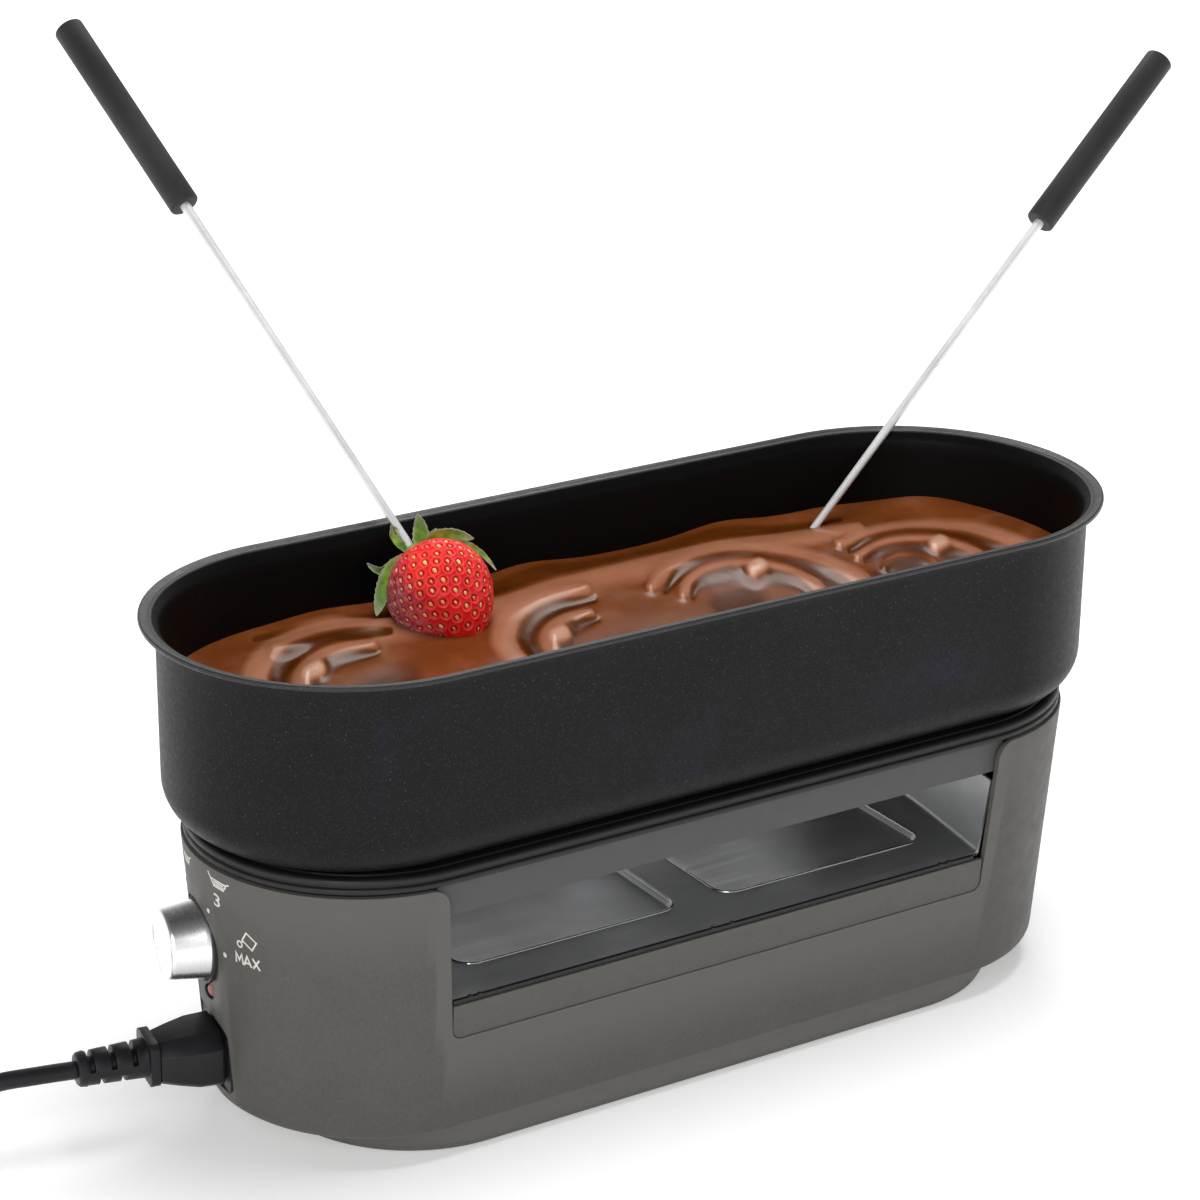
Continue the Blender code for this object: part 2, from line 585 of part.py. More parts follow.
def inner_radius(z):
    """Inside radius of the pot's round ends at a height."""
    corner = POT_CORNER - POT_WALL
    inside = POT_RADIUS - POT_WALL
    if z >= POT_FLOOR + corner:
        return inside + 0.2 * MM * (z - POT_FLOOR) / (RIM_TOP - POT_FLOOR)
    drop = POT_FLOOR + corner - z
    return inside - corner + math.sqrt(max(corner ** 2 - drop ** 2, 0))


def make_pot():
    """Pot with a locating foot, rounded bottom edge and thin flared lip."""
    rings = [stadium(BASE_HALF, RING_OPENING - 0.9 * MM, POT_BOTTOM - 1.8 * MM),
             stadium(BASE_HALF, RING_OPENING - 0.9 * MM, POT_BOTTOM)]
    centre_r, centre_z = POT_RADIUS - POT_CORNER, POT_BOTTOM + POT_CORNER
    for k in range(9):
        a = math.radians(90 * k / 8)
        rings.append(stadium(POT_HALF, centre_r + POT_CORNER * math.sin(a), centre_z - POT_CORNER * math.cos(a)))
    lip = [(68.2, 186.6), (68.7, 189.0), (70.0, 190.3), (73.6, 191.5), (74.1, 192.2), (74.1, 192.9),
           (73.7, 193.4), (69.2, 191.9), (67.4, 190.8), (66.5, 189.0)]
    rings += [stadium(POT_HALF, r * MM, z * MM) for r, z in lip]
    corner = POT_CORNER - POT_WALL
    heights = [POT_FLOOR + 62 * MM] + [POT_FLOOR + corner * (1 - math.sin(math.radians(11.25 * k))) for k in range(9)]
    rings += [stadium(POT_HALF, inner_radius(z), z) for z in heights]
    return smooth(loft("pot", rings, NONSTICK))


class Fork:
    """A fork's line: where its rod leans on the lip, and which way it points."""

    def __init__(self, name, lip_point, azimuth, elevation, handle_end):
        self.name = name
        self.lip = Vector(lip_point)
        a, e = math.radians(azimuth), math.radians(elevation)
        self.along = Vector((math.cos(a) * math.cos(e), math.sin(a) * math.cos(e), math.sin(e)))
        self.end = handle_end
        self.tip = handle_end - FORK_LENGTH

    def point(self, distance):
        """Point on the fork's axis, measured from the lip towards the handle."""
        return self.lip + self.along * distance


LIP_TURN = math.radians(29.3)
LEFT_FORK = Fork("left_fork", (-66.2 * MM, LIP_RADIUS, LIP_HEIGHT), 100.5, 38.0, 251.8 * MM)
RIGHT_FORK = Fork("right_fork", (POT_HALF + LIP_RADIUS * math.sin(LIP_TURN),
                                 LIP_RADIUS * math.cos(LIP_TURN), LIP_HEIGHT), 12.0, 37.0, 208.9 * MM)
TINE_SPREAD = 2.9 * MM
TINE_RADIUS = 0.9 * MM
TINE_LENGTH = 22 * MM


def make_fork(fork):
    """Handle and two-tined steel rod."""
    grip = fork.end - HANDLE_LENGTH
    edge = 1.3 * MM
    profile = [(grip + 20 * MM, ROD_RADIUS + 0.35 * MM + GAP), (grip, ROD_RADIUS + 0.35 * MM + GAP),
               (grip, HANDLE_RADIUS - edge)]
    profile += [(grip + edge * (1 - math.cos(a)), HANDLE_RADIUS - edge * (1 - math.sin(a)))
                for a in (math.radians(30), math.radians(60), math.radians(90))]
    profile += [(fork.end - edge * (1 - math.sin(a)), HANDLE_RADIUS - edge * (1 - math.cos(a)))
                for a in (0, math.radians(30), math.radians(60), math.radians(90))]
    handle = turned(f"{fork.name}_handle", fork.lip, fork.along, profile, HANDLE_BLACK, 32)
    put_origin(smooth(handle), fork.lip)
    yoke = fork.tip + TINE_LENGTH
    rod = turned(f"{fork.name}_rod", fork.lip, fork.along,
                 [(yoke, ROD_RADIUS), (grip + 19 * MM, ROD_RADIUS + 0.35 * MM)], STEEL, 12)
    side, up = frame_of(fork.along)
    bar = [fork.point(yoke - 0.8 * MM) + side * (s * (TINE_SPREAD + 0.8 * MM)) + up * (u * 1.1 * MM)
           for s, u in ((-1, -1), (1, -1), (1, 1), (-1, 1))]
    combine(rod, extruded("bar", bar, fork.along * 2.4 * MM, STEEL), "UNION")
    for sign in (-1, 1):
        line = fork.lip + side * (sign * TINE_SPREAD)
        tine = turned("tine", line, fork.along, [(fork.tip, 0.2 * MM), (fork.tip + 3 * MM, TINE_RADIUS),
                                                 (yoke, TINE_RADIUS)], STEEL, 8)
        combine(rod, tine, "UNION")
    put_origin(smooth(rod), fork.lip)


def fork_channel(fork, low, high):
    """Slot that clears the tines between two distances along the fork."""
    side, up = frame_of(fork.along)
    wide, thick = TINE_SPREAD + 1.7 * MM, ROD_RADIUS + 0.7 * MM
    outline = [fork.point(low) + side * (s * wide) + up * (u * thick)
               for s, u in ((-1, -1), (1, -1), (1, 1), (-1, 1))]
    return extruded("channel", outline, fork.along * (high - low), STEEL)


BERRY_LENGTH = 44 * MM
BERRY_RADIUS = 19.8 * MM
BERRY_DOWN = -LEFT_FORK.along
BERRY_TOP = LEFT_FORK.point(-13.5 * MM)


def berry_radius(part):
    """Radius at a part of the length from the leaves to the tip."""
    return BERRY_RADIUS * 1.972 * part ** 0.36 * (1 - part) ** 0.7


def berry_rings(extra=0.0):
    """Rings from the leafy end to the tip, grown by extra."""
    parts = [0.012, 0.05, 0.11, 0.19, 0.28, 0.38, 0.48, 0.58, 0.68, 0.78, 0.87, 0.94, 0.985]
    return [circle(BERRY_TOP + BERRY_DOWN * (BERRY_LENGTH * p), BERRY_DOWN, berry_radius(p) + extra, 28)
            for p in parts]


def make_berry():
    """Strawberry on the left fork, bored for the rod and tines, with its leaves."""
    fork = LEFT_FORK
    berry = loft("strawberry", berry_rings(), BERRY_RED)
    yoke = fork.tip + TINE_LENGTH
    combine(berry, fork_channel(fork, fork.tip - 0.6 * MM, yoke + 2.2 * MM))
    hole = [(yoke, ROD_RADIUS + 0.6 * MM), (0, ROD_RADIUS + 0.6 * MM)]
    combine(berry, turned("bore", fork.lip, fork.along, hole, STEEL, 16))
    put_origin(smooth(berry, 60), fork.lip)
    side, up = frame_of(-BERRY_DOWN)
    leaves, reach, steps = 7, 15 * MM, 56
    rings = []
    for thickness, fractions in ((0, (0.15, 0.45, 0.75, 1.0)), (0.7 * MM, (1.0, 0.75, 0.45, 0.15))):
        for f in fractions:
            ring = []
            for k in range(steps):
                a = 2 * math.pi * k / steps
                length = reach * f * (0.42 + 0.58 * abs(math.cos(leaves * a / 2)) ** 1.4)
                length *= 0.75 + 0.25 * math.sin(a)
                lift = 0.6 * MM + 5 * MM * (length / reach) ** 1.6 + thickness
                ring.append(BERRY_TOP + side * (length * math.cos(a)) + up * (length * math.sin(a))
                            - BERRY_DOWN * lift)
            rings.append(ring)
    crown = loft("strawberry_leaves", rings, LEAF_GREEN)
    combine(crown, turned("bore", fork.lip, fork.along, hole, STEEL, 16))
    put_origin(smooth(crown), fork.lip)


def make_chocolate():
    """Chocolate in the pot, with room for the strawberry and the right fork."""
    heights = [POT_FLOOR + GAP, POT_FLOOR + 1.5 * MM, POT_FLOOR + 4 * MM, POT_FLOOR + 8 * MM,
               POT_FLOOR + 13 * MM, CHOCOLATE_TOP]
    rings = [stadium(POT_HALF, inner_radius(z) - GAP - 0.1 * MM, z) for z in heights]
    fill = loft("chocolate_fill", rings, CHOCOLATE)
    combine(fill, loft("pocket", berry_rings(0.8 * MM), CHOCOLATE))
    combine(fill, fork_channel(RIGHT_FORK, RIGHT_FORK.tip - 0.6 * MM, -30 * MM))
    return smooth(fill)


# ---------------------------------------------------------------- mains lead

def lead_section(out, half_width, half_height, chamfer, small):
    """Eight-sided section of the connector, wide chamfers at the top."""
    w, h, c, s, z = half_width, half_height, chamfer, small, INLET_HEIGHT
    corners = [(-w, -h + s), (-w + s, -h), (w - s, -h), (w, -h + s), (w, h - c), (w - c, h), (-w + c, h), (-w, h - c)]
    return [at_end(out, u, z + v) for u, v in corners]


def make_connector():
    """Moulded connector with its front block in the inlet, and the ribbed strain relief."""
    sizes = [(42.5, 11.0, 7.2, 4.2, 0.8), (43.2, 11.7, 7.9, 4.4, 1.0), (58.4, 11.7, 7.9, 4.4, 1.0),
             (58.4, 13.2, 9.8, 5.4, 1.6), (59.2, 13.5, 10.1, 5.6, 1.6), (67.5, 13.3, 9.9, 5.6, 1.8),
             (75.0, 11.6, 8.7, 5.0, 2.0), (81.0, 9.6, 7.6, 4.2, 2.0)]
    rings = [lead_section(*(value * MM for value in row)) for row in sizes]
    body = loft("connector_body", rings, CORD_BLACK)
    for side, up in PIN_PLACES:
        loose = (side - MM - GAP, side + MM + GAP), (INLET_HEIGHT + up - 2.3 * MM, INLET_HEIGHT + up + 2.3 * MM)
        combine(body, end_block("pin_bore", (40 * MM, 54.6 * MM), *loose, CORD_BLACK))
    origin = at_end(58 * MM, 0, INLET_HEIGHT)
    put_origin(smooth(body, 25), origin)

    z = INLET_HEIGHT
    collar = rounded_box((-9.4 * MM, z - 8.6 * MM), (9.4 * MM, z + 8.6 * MM), 3.2 * MM)
    relief = extruded("strain_relief", [at_end(81.3 * MM, u, v) for u, v in collar], OUT * 3.4 * MM, CORD_BLACK)
    end = CORD_START - GAP
    sleeve = [(84 * MM, 7.4 * MM), (88 * MM, 7.1 * MM), (end - 0.8 * MM, 6.1 * MM), (end, 5.6 * MM)]
    combine(relief, turned("sleeve", at_end(0, 0, z), OUT, sleeve, CORD_BLACK, 24), "UNION")
    for out, flip in ((88.6, 1), (92.6, -1), (96.4, 1), (100.4, -1), (104.2, 1)):
        near, far = out * MM, (out + 2.1) * MM
        if flip > 0:
            span_side, span_up = (-9 * MM, 9 * MM), (z + 0.8 * MM, z + 9 * MM)
        else:
            span_side, span_up = (-9 * MM, 9 * MM), (z - 9 * MM, z - 2.2 * MM)
        notch = end_block("notch", (near, far), span_side, span_up, CORD_BLACK)
        core = turned("core", at_end(0, 0, z), OUT, [(near - MM, 4.1 * MM), (far + MM, 4.1 * MM)], CORD_BLACK, 20)
        combine(notch, core)
        combine(relief, notch)
    put_origin(smooth(relief), origin)


COIL_CENTRE = Vector((-329 * MM, 84.4 * MM, 0))
COIL_MIDDLE = 33.2 * MM
COIL_OUTER = 40.0 * MM
COIL_INNER = 26.4 * MM
COIL_HEIGHT = 20.6 * MM
PLUG_HEIGHT = 18.4 * MM
PLUG_START = COIL_CENTRE + Vector((-41 * MM, 56 * MM, PLUG_HEIGHT))
PLUG_AXIS = Vector((-0.1, 0.995, 0)).normalized()


def make_lead():
    """Cord from the strain relief to the coil, the coil, and the plug."""
    origin = at_end(58 * MM, 0, INLET_HEIGHT)
    knots = [at_end(CORD_START, 0, INLET_HEIGHT), at_end(125 * MM, -0.4 * MM, INLET_HEIGHT + 0.3 * MM),
             at_end(141 * MM, -1.6 * MM, INLET_HEIGHT - 0.6 * MM), at_end(162 * MM, -3 * MM, 24 * MM),
             at_end(182 * MM, -4 * MM, 11.5 * MM), at_end(198 * MM, -4.5 * MM, 4.4 * MM),
             at_end(211 * MM, -6 * MM, CORD_RADIUS + 0.1 * MM)]
    run = tube("cord_run", smooth_route(knots, 8 * MM), CORD_RADIUS, CORD_BLACK, 3)
    profile = [(0.1 * MM, COIL_INNER + MM), (0.1 * MM, COIL_OUTER - MM), (1.2 * MM, COIL_OUTER),
               (12 * MM, COIL_OUTER), (COIL_HEIGHT - 2 * MM, COIL_OUTER - 2 * MM),
               (COIL_HEIGHT, COIL_MIDDLE + 2 * MM), (COIL_HEIGHT, COIL_MIDDLE - 2 * MM),
               (COIL_HEIGHT - 2 * MM, COIL_INNER + 2 * MM), (12 * MM, COIL_INNER), (1.2 * MM, COIL_INNER)]
    coil = turned("cord_coil", COIL_CENTRE, (0, 0, 1), profile, CORD_BLACK, 40, closed=True)
    tail_knots = [COIL_CENTRE + Vector((-COIL_OUTER - 3.9 * MM, 4 * MM, 10 * MM)),
                  COIL_CENTRE + Vector((-COIL_OUTER - 3.9 * MM, 18 * MM, 11.5 * MM)),
                  PLUG_START - PLUG_AXIS * (20 * MM) + Vector((-2 * MM, 0, -2.5 * MM)),
                  PLUG_START - PLUG_AXIS * (8 * MM) + Vector((-0.3 * MM, 0, -0.4 * MM)),
                  PLUG_START - PLUG_AXIS * GAP]
    tail = tube("cord_tail", smooth_route(tail_knots, 8 * MM), CORD_RADIUS, CORD_BLACK, 3)
    shape = [(0, 4.6 * MM), (12 * MM, 6.2 * MM), (26 * MM, 9.5 * MM), (34 * MM, 13.5 * MM), (38 * MM, 17.2 * MM),
             (40 * MM, 18.2 * MM), (47 * MM, 18.2 * MM), (48 * MM, 17.4 * MM)]
    plug = turned("mains_plug", PLUG_START, PLUG_AXIS, shape, CORD_BLACK, 32)
    across = Vector((0, 0, 1)).cross(PLUG_AXIS)
    parts = [run, coil, tail, smooth(plug)]
    for number, sign in enumerate((-1, 1), 1):
        start = PLUG_START + across * (sign * 9.5 * MM)
        pin = turned(f"plug_pin_{number}", start, PLUG_AXIS,
                     [(48.3 * MM, 2.4 * MM), (66 * MM, 2.4 * MM), (67.3 * MM, 1.5 * MM)], BRASS, 12)
        parts.append(smooth(pin))
    smooth(coil)
    return parts


# ---------------------------------------------------------------- build

make_shell()
make_floor()
for label, direction in (("front", -1), ("back", 1)):
    make_sill(f"{label}_sill", direction)
    make_rail(f"{label}_rail", direction)
make_tray()
make_ring()
make_heater()
make_knob()
make_lamp()
make_inlet()
make_wiring()
make_pot()
make_fork(LEFT_FORK)
make_fork(RIGHT_FORK)
make_berry()
make_chocolate()
make_connector()
lead_parts = make_lead()

# The set's origin is the bottom centre of its box, measured without the lead's loose pieces.
bpy.context.view_layer.update()
corners = [obj.matrix_world @ Vector(corner) for obj in bpy.data.objects
           if obj not in lead_parts for corner in obj.bound_box]
centre_x = (min(c.x for c in corners) + max(c.x for c in corners)) / 2
centre_y = (min(c.y for c in corners) + max(c.y for c in corners)) / 2
for obj in bpy.data.objects:
    obj.location -= Vector((centre_x, centre_y, 0))
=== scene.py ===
"""Looks for the electric raclette and fondue set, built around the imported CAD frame.

Shapes are laid out in millimetres about the centre of the base on the table, and moved into
the row frame by TO_ROW. The long side is along X, with the control end at -X.
"""

import json
import math

import bmesh
import bpy
import numpy as np
from mathutils import Matrix, Vector, kdtree


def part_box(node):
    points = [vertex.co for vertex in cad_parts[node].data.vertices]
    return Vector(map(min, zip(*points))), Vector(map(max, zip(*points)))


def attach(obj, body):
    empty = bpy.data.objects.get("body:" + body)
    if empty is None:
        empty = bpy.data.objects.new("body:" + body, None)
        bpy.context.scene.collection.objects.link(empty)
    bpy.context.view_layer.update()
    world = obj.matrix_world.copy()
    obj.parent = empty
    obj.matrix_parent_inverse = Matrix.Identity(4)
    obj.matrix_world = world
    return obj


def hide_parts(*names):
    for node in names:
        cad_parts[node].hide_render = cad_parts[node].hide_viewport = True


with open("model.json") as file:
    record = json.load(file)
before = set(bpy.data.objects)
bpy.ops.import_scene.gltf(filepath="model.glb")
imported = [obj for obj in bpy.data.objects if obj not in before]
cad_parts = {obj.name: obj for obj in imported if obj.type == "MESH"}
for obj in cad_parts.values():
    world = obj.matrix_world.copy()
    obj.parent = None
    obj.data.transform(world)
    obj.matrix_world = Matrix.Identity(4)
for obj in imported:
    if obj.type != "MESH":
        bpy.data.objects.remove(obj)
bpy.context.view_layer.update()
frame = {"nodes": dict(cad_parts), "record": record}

shell_low, shell_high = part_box("base_shell")
BASE = Vector(((shell_low.x + shell_high.x) / 2, (shell_low.y + shell_high.y) / 2, 0))
TO_ROW = Matrix.Translation(BASE) @ Matrix.Scale(0.001, 4)

# ---------------------------------------------------------------- sizes (mm)
BASE_HALF = 118.4
SHELL_TOP = 110.5
SHELL_FOOT = 12.0
SKIRT_BOTTOM = 2.5
SKIRT_HALF = 99.0
SHELL_RADIUS_TOP = 65.7
SHELL_TAPER = 0.0749
WALL = 2.2
CUT_BOTTOM = 48.5
CUT_HALF_BOTTOM = 117.3
CUT_HALF_TOP = 120.9
SILL_TOP = 61.9
SILL_INSET = 0.3
TRAY_TOP = 64.0
TRAY_SHEET = 0.8
PAN_DEPTH = 1.8
RAIL_BOTTOM = 97.8
RAIL_INSET = 3.0
RING_BOTTOM = 111.2
RING_TOP = 117.2
RING_OPENING = 50.3
POT_HALF = 122.9
POT_BOTTOM = RING_TOP + 0.3
POT_RADIUS = 67.9
POT_WALL = 2.0
POT_CORNER = 15.0
POT_FLOOR = 121.0
RIM_TOP = 193.4
CONTROL_TURN = math.radians(9.5)
FLAT_DEPTH = 1.8
KNOB_HEIGHT = 74.5
LAMP_HEIGHT = 54.0
LAMP_SIDE = 2.0
INLET_HEIGHT = 31.0
FORK_LENGTH = 300.0
HANDLE_LENGTH = 93.9
HANDLE_RADIUS = 6.0
ROD_RADIUS = 1.45
LIP_RADIUS = 67.2
LIP_HEIGHT = 193.3
CORD_RADIUS = 3.3
CORD_START = 110.3

BERRY_HEART = Vector((-59.5, 42.5, 172))

OUT = Vector((-math.cos(CONTROL_TURN), math.sin(CONTROL_TURN), 0))
SIDE = Vector((-math.sin(CONTROL_TURN), -math.cos(CONTROL_TURN), 0))
END_CENTRE = Vector((-BASE_HALF, 0, 0))


def at_end(out, side, z):
    """Point at the control end: distance outwards, distance sideways, height."""
    return END_CENTRE + OUT * out + SIDE * side + Vector((0, 0, z))


# ---------------------------------------------------------------- camera

def make_camera():
    """Camera at the photograph's viewing angle."""
    forward = Vector((0.4863, 0.8008, -0.3496)).normalized()
    right = forward.cross(Vector((0, 0, 1))).normalized()
    up = right.cross(forward)
    data = bpy.data.cameras.new("camera")
    data.sensor_width = 36.0
    data.lens = 108.54
    data.shift_x = 0.08098
    data.shift_y = -0.03954
    data.clip_start = 0.05
    data.clip_end = 60
    obj = bpy.data.objects.new("camera", data)
    bpy.context.scene.collection.objects.link(obj)
    turn = Matrix((right, up, -forward)).transposed().to_4x4()
    obj.matrix_world = Matrix.Translation(TO_ROW @ Vector((-691.14, -1039.86, 655.49))) @ turn
    bpy.context.scene.camera = obj


make_camera()


# ---------------------------------------------------------------- material helpers

class Nodes:
    """Small helper to wire a node tree."""

    def __init__(self, name):
        self.mat = bpy.data.materials.new(name)
        self.mat.use_nodes = True
        self.tree = self.mat.node_tree
        self.shader = self.tree.nodes["Principled BSDF"]
        coords = self.tree.nodes.new("ShaderNodeTexCoord")
        self.place = coords.outputs["Object"]

    def add(self, kind, **values):
        """New node with its inputs or properties set."""
        node = self.tree.nodes.new("ShaderNode" + kind)
        for key, value in values.items():
            if key in node.inputs:
                node.inputs[key].default_value = value
            else:
                setattr(node, key, value)
        return node

    def link(self, output, target):
        """Join an output to an input."""
        self.tree.links.new(output, target)

    def moved(self, stretch=(1, 1, 1)):
        """Object coordinates stretched along the axes."""
        node = self.add("Mapping")
        node.inputs["Scale"].default_value = stretch
        self.link(self.place, node.inputs["Vector"])
        return node.outputs["Vector"]

    def noise(self, scale, detail=2.0, rough=0.5, stretch=None):
        """Noise value, scale in features per metre."""
        node = self.add("TexNoise", Scale=scale, Detail=detail, Roughness=rough)
        self.link(self.moved(stretch) if stretch else self.place, node.inputs["Vector"])
        return node.outputs["Fac"]

    def ramp(self, value, stops):
        """Colour ramp from (place, colour) stops."""
        node = self.add("ValToRGB")
        band = node.color_ramp
        while len(band.elements) < len(stops):
            band.elements.new(0.5)
        for element, (place, colour) in zip(band.elements, stops):
            element.position = place
            element.color = (*colour, 1) if len(colour) == 3 else colour
        self.link(value, node.inputs["Fac"])
        return node.outputs["Color"]

    def grey(self, value, low, high, start=0.0, end=1.0):
        """Value mapped from [start, end] to [low, high]."""
        node = self.add("MapRange")
        node.inputs["From Min"].default_value = start
        node.inputs["From Max"].default_value = end
        node.inputs["To Min"].default_value = low
        node.inputs["To Max"].default_value = high
        self.link(value, node.inputs["Value"])
        return node.outputs["Result"]

    def math(self, operation, first, second):
        """One sum on values or sockets."""
        node = self.add("Math", operation=operation)
        for socket, value in zip(node.inputs, (first, second)):
            if isinstance(value, (int, float)):
                socket.default_value = value
            else:
                self.link(value, socket)
        return node.outputs[0]

    def mix(self, factor, first, second):
        """Mix of two colours, each a tuple or a socket."""
        node = self.add("Mix", data_type="RGBA")
        sockets = (node.inputs["Factor"], node.inputs[6], node.inputs[7])
        for socket, value in zip(sockets, (factor, first, second)):
            if isinstance(value, (int, float)):
                socket.default_value = value
            elif isinstance(value, tuple):
                socket.default_value = (*value, 1) if len(value) == 3 else value
            else:
                self.link(value, socket)
        return node.outputs[2]

    def bump(self, height, strength, distance, under=None):
        """Bump from a height, optionally on top of another."""
        node = self.add("Bump", Strength=strength, Distance=distance)
        self.link(height, node.inputs["Height"])
        if under is not None:
            self.link(under, node.inputs["Normal"])
        return node.outputs["Normal"]

    def worn_edge(self, low=0.52, high=0.6):
        """Value that rises along sharp outside edges."""
        geometry = self.add("NewGeometry")
        return self.grey(geometry.outputs["Pointiness"], 0, 1, low, high)


def plastic(name, colour, rough=0.5, specular=0.5, mottle=0.12, grain=900, depth=0.00003, edge=1.25):
    """Moulded plastic: fine spark-eroded grain, faint mottling, slightly polished edges."""
    n = Nodes(name)
    cloud = n.noise(38, 3, 0.6)
    fine = n.noise(grain, 3, 0.7)
    dark = tuple(c * (1 - mottle) for c in colour)
    light = tuple(min(c * (1 + mottle), 1) for c in colour)
    base = n.ramp(cloud, [(0.3, dark), (0.7, light)])
    speck = n.ramp(fine, [(0.35, (0.9, 0.9, 0.9)), (0.65, (1.08, 1.08, 1.08))])
    both = n.add("Mix", data_type="RGBA", blend_type="MULTIPLY")
    both.inputs["Factor"].default_value = 1.0
    n.link(base, both.inputs[6])
    n.link(speck, both.inputs[7])
    worn = tuple(min(c * edge + 0.004, 1) for c in colour)
    n.link(n.mix(n.worn_edge(), both.outputs[2], worn), n.shader.inputs["Base Color"])
    n.link(n.grey(n.noise(160, 3), rough - 0.07, rough + 0.07, 0.3, 0.7), n.shader.inputs["Roughness"])
    n.shader.inputs["Specular IOR Level"].default_value = specular
    n.link(n.bump(fine, 0.5, depth), n.shader.inputs["Normal"])
    return n.mat


def metal(name, colour, rough=0.2, brushed=None, depth=0.000004, tone=0.12, metallic=1.0):
    """Metal with drawn lines or a fine polish, smudges in the roughness."""
    n = Nodes(name)
    smear = n.noise(45, 4, 0.6)
    lines = n.noise(260, 4, 0.6, brushed or (1, 1, 1))
    n.link(n.ramp(smear, [(0.25, tuple(c * (1 - tone) for c in colour)), (0.75, colour)]),
           n.shader.inputs["Base Color"])
    blend = n.math("ADD", n.math("MULTIPLY", smear, 0.5), n.math("MULTIPLY", lines, 0.5))
    n.link(n.grey(blend, rough * 0.7, rough * 1.35, 0.35, 0.65), n.shader.inputs["Roughness"])
    n.shader.inputs["Metallic"].default_value = metallic
    n.link(n.bump(lines, 0.35, depth), n.shader.inputs["Normal"])
    return n.mat


def coating(name, colour, rough, specular, spark=(0.030, 0.030, 0.040), tint=(0.012, 0.011, 0.026)):
    """Non-stick coating: near black, dense fine flecks with a few bright ones, slow bluish clouds."""
    n = Nodes(name)
    cells = n.add("TexVoronoi", Scale=1500.0)
    n.link(n.place, cells.inputs["Vector"])
    pick = n.add("SeparateColor")
    n.link(cells.outputs["Color"], pick.inputs["Color"])
    dot = n.grey(cells.outputs["Distance"], 1, 0, 0.12, 0.5)
    common = n.math("MULTIPLY", n.math("MULTIPLY", n.grey(pick.outputs["Red"], 0, 1, 0.35, 0.95), dot), 0.9)
    rare = n.math("MULTIPLY", n.grey(pick.outputs["Green"], 0, 1, 0.982, 0.995), dot)
    cloud = n.noise(22, 3, 0.6)
    body = n.ramp(cloud, [(0.3, tuple(c * 0.8 for c in colour)), (0.58, tuple(c * 1.1 for c in colour)),
                          (0.8, tint)])
    fine = n.mix(common, body, spark)
    n.link(n.mix(rare, fine, tuple(c * 2.4 for c in spark)), n.shader.inputs["Base Color"])
    peel = n.noise(1400, 2)
    n.link(n.grey(n.noise(500, 2), rough - 0.05, rough + 0.06, 0.3, 0.7), n.shader.inputs["Roughness"])
    n.shader.inputs["Specular IOR Level"].default_value = specular
    n.link(n.bump(peel, 0.6, 0.00004), n.shader.inputs["Normal"])
    return n.mat


def chocolate_material():
    """Melted milk chocolate, glossy: folds of lighter and darker brown carried by the tone the strokes
    leave on the mesh; the light folds are partly painted highlight, the dark creases partly painted shade.
    """
    n = Nodes("chocolate")
    swirl_and_painted_light = n.add("Attribute", attribute_name="swirl_and_painted_light")
    drift = n.math("MULTIPLY", n.math("SUBTRACT", n.noise(55, 3, 0.55), 0.5), 0.9)
    value = n.grey(n.math("ADD", swirl_and_painted_light.outputs["Fac"], drift), 0, 1, -2.5, 3.0)
    # Pale pink-white top stops: painted highlight on the light folds; darkest stops: painted shade in the
    # creases.
    body = n.ramp(value, [(0.09, (0.010, 0.002, 0.0004)), (0.27, (0.062, 0.014, 0.0008)),
                          (0.455, (0.165, 0.044, 0.010)),
                          (0.636, (0.38, 0.155, 0.085)), (0.82, (0.64, 0.40, 0.29)),
                          (1.0, (0.85, 0.72, 0.62))])
    n.link(body, n.shader.inputs["Base Color"])
    n.shader.inputs["Specular IOR Level"].default_value = 0.24
    n.shader.inputs["Specular Tint"].default_value = (1.0, 0.74, 0.58, 1)
    n.link(n.grey(n.noise(70, 3), 0.13, 0.22, 0.3, 0.7), n.shader.inputs["Roughness"])
    n.link(n.bump(n.noise(240, 3), 0.1, 0.0001), n.shader.inputs["Normal"])
    return n.mat


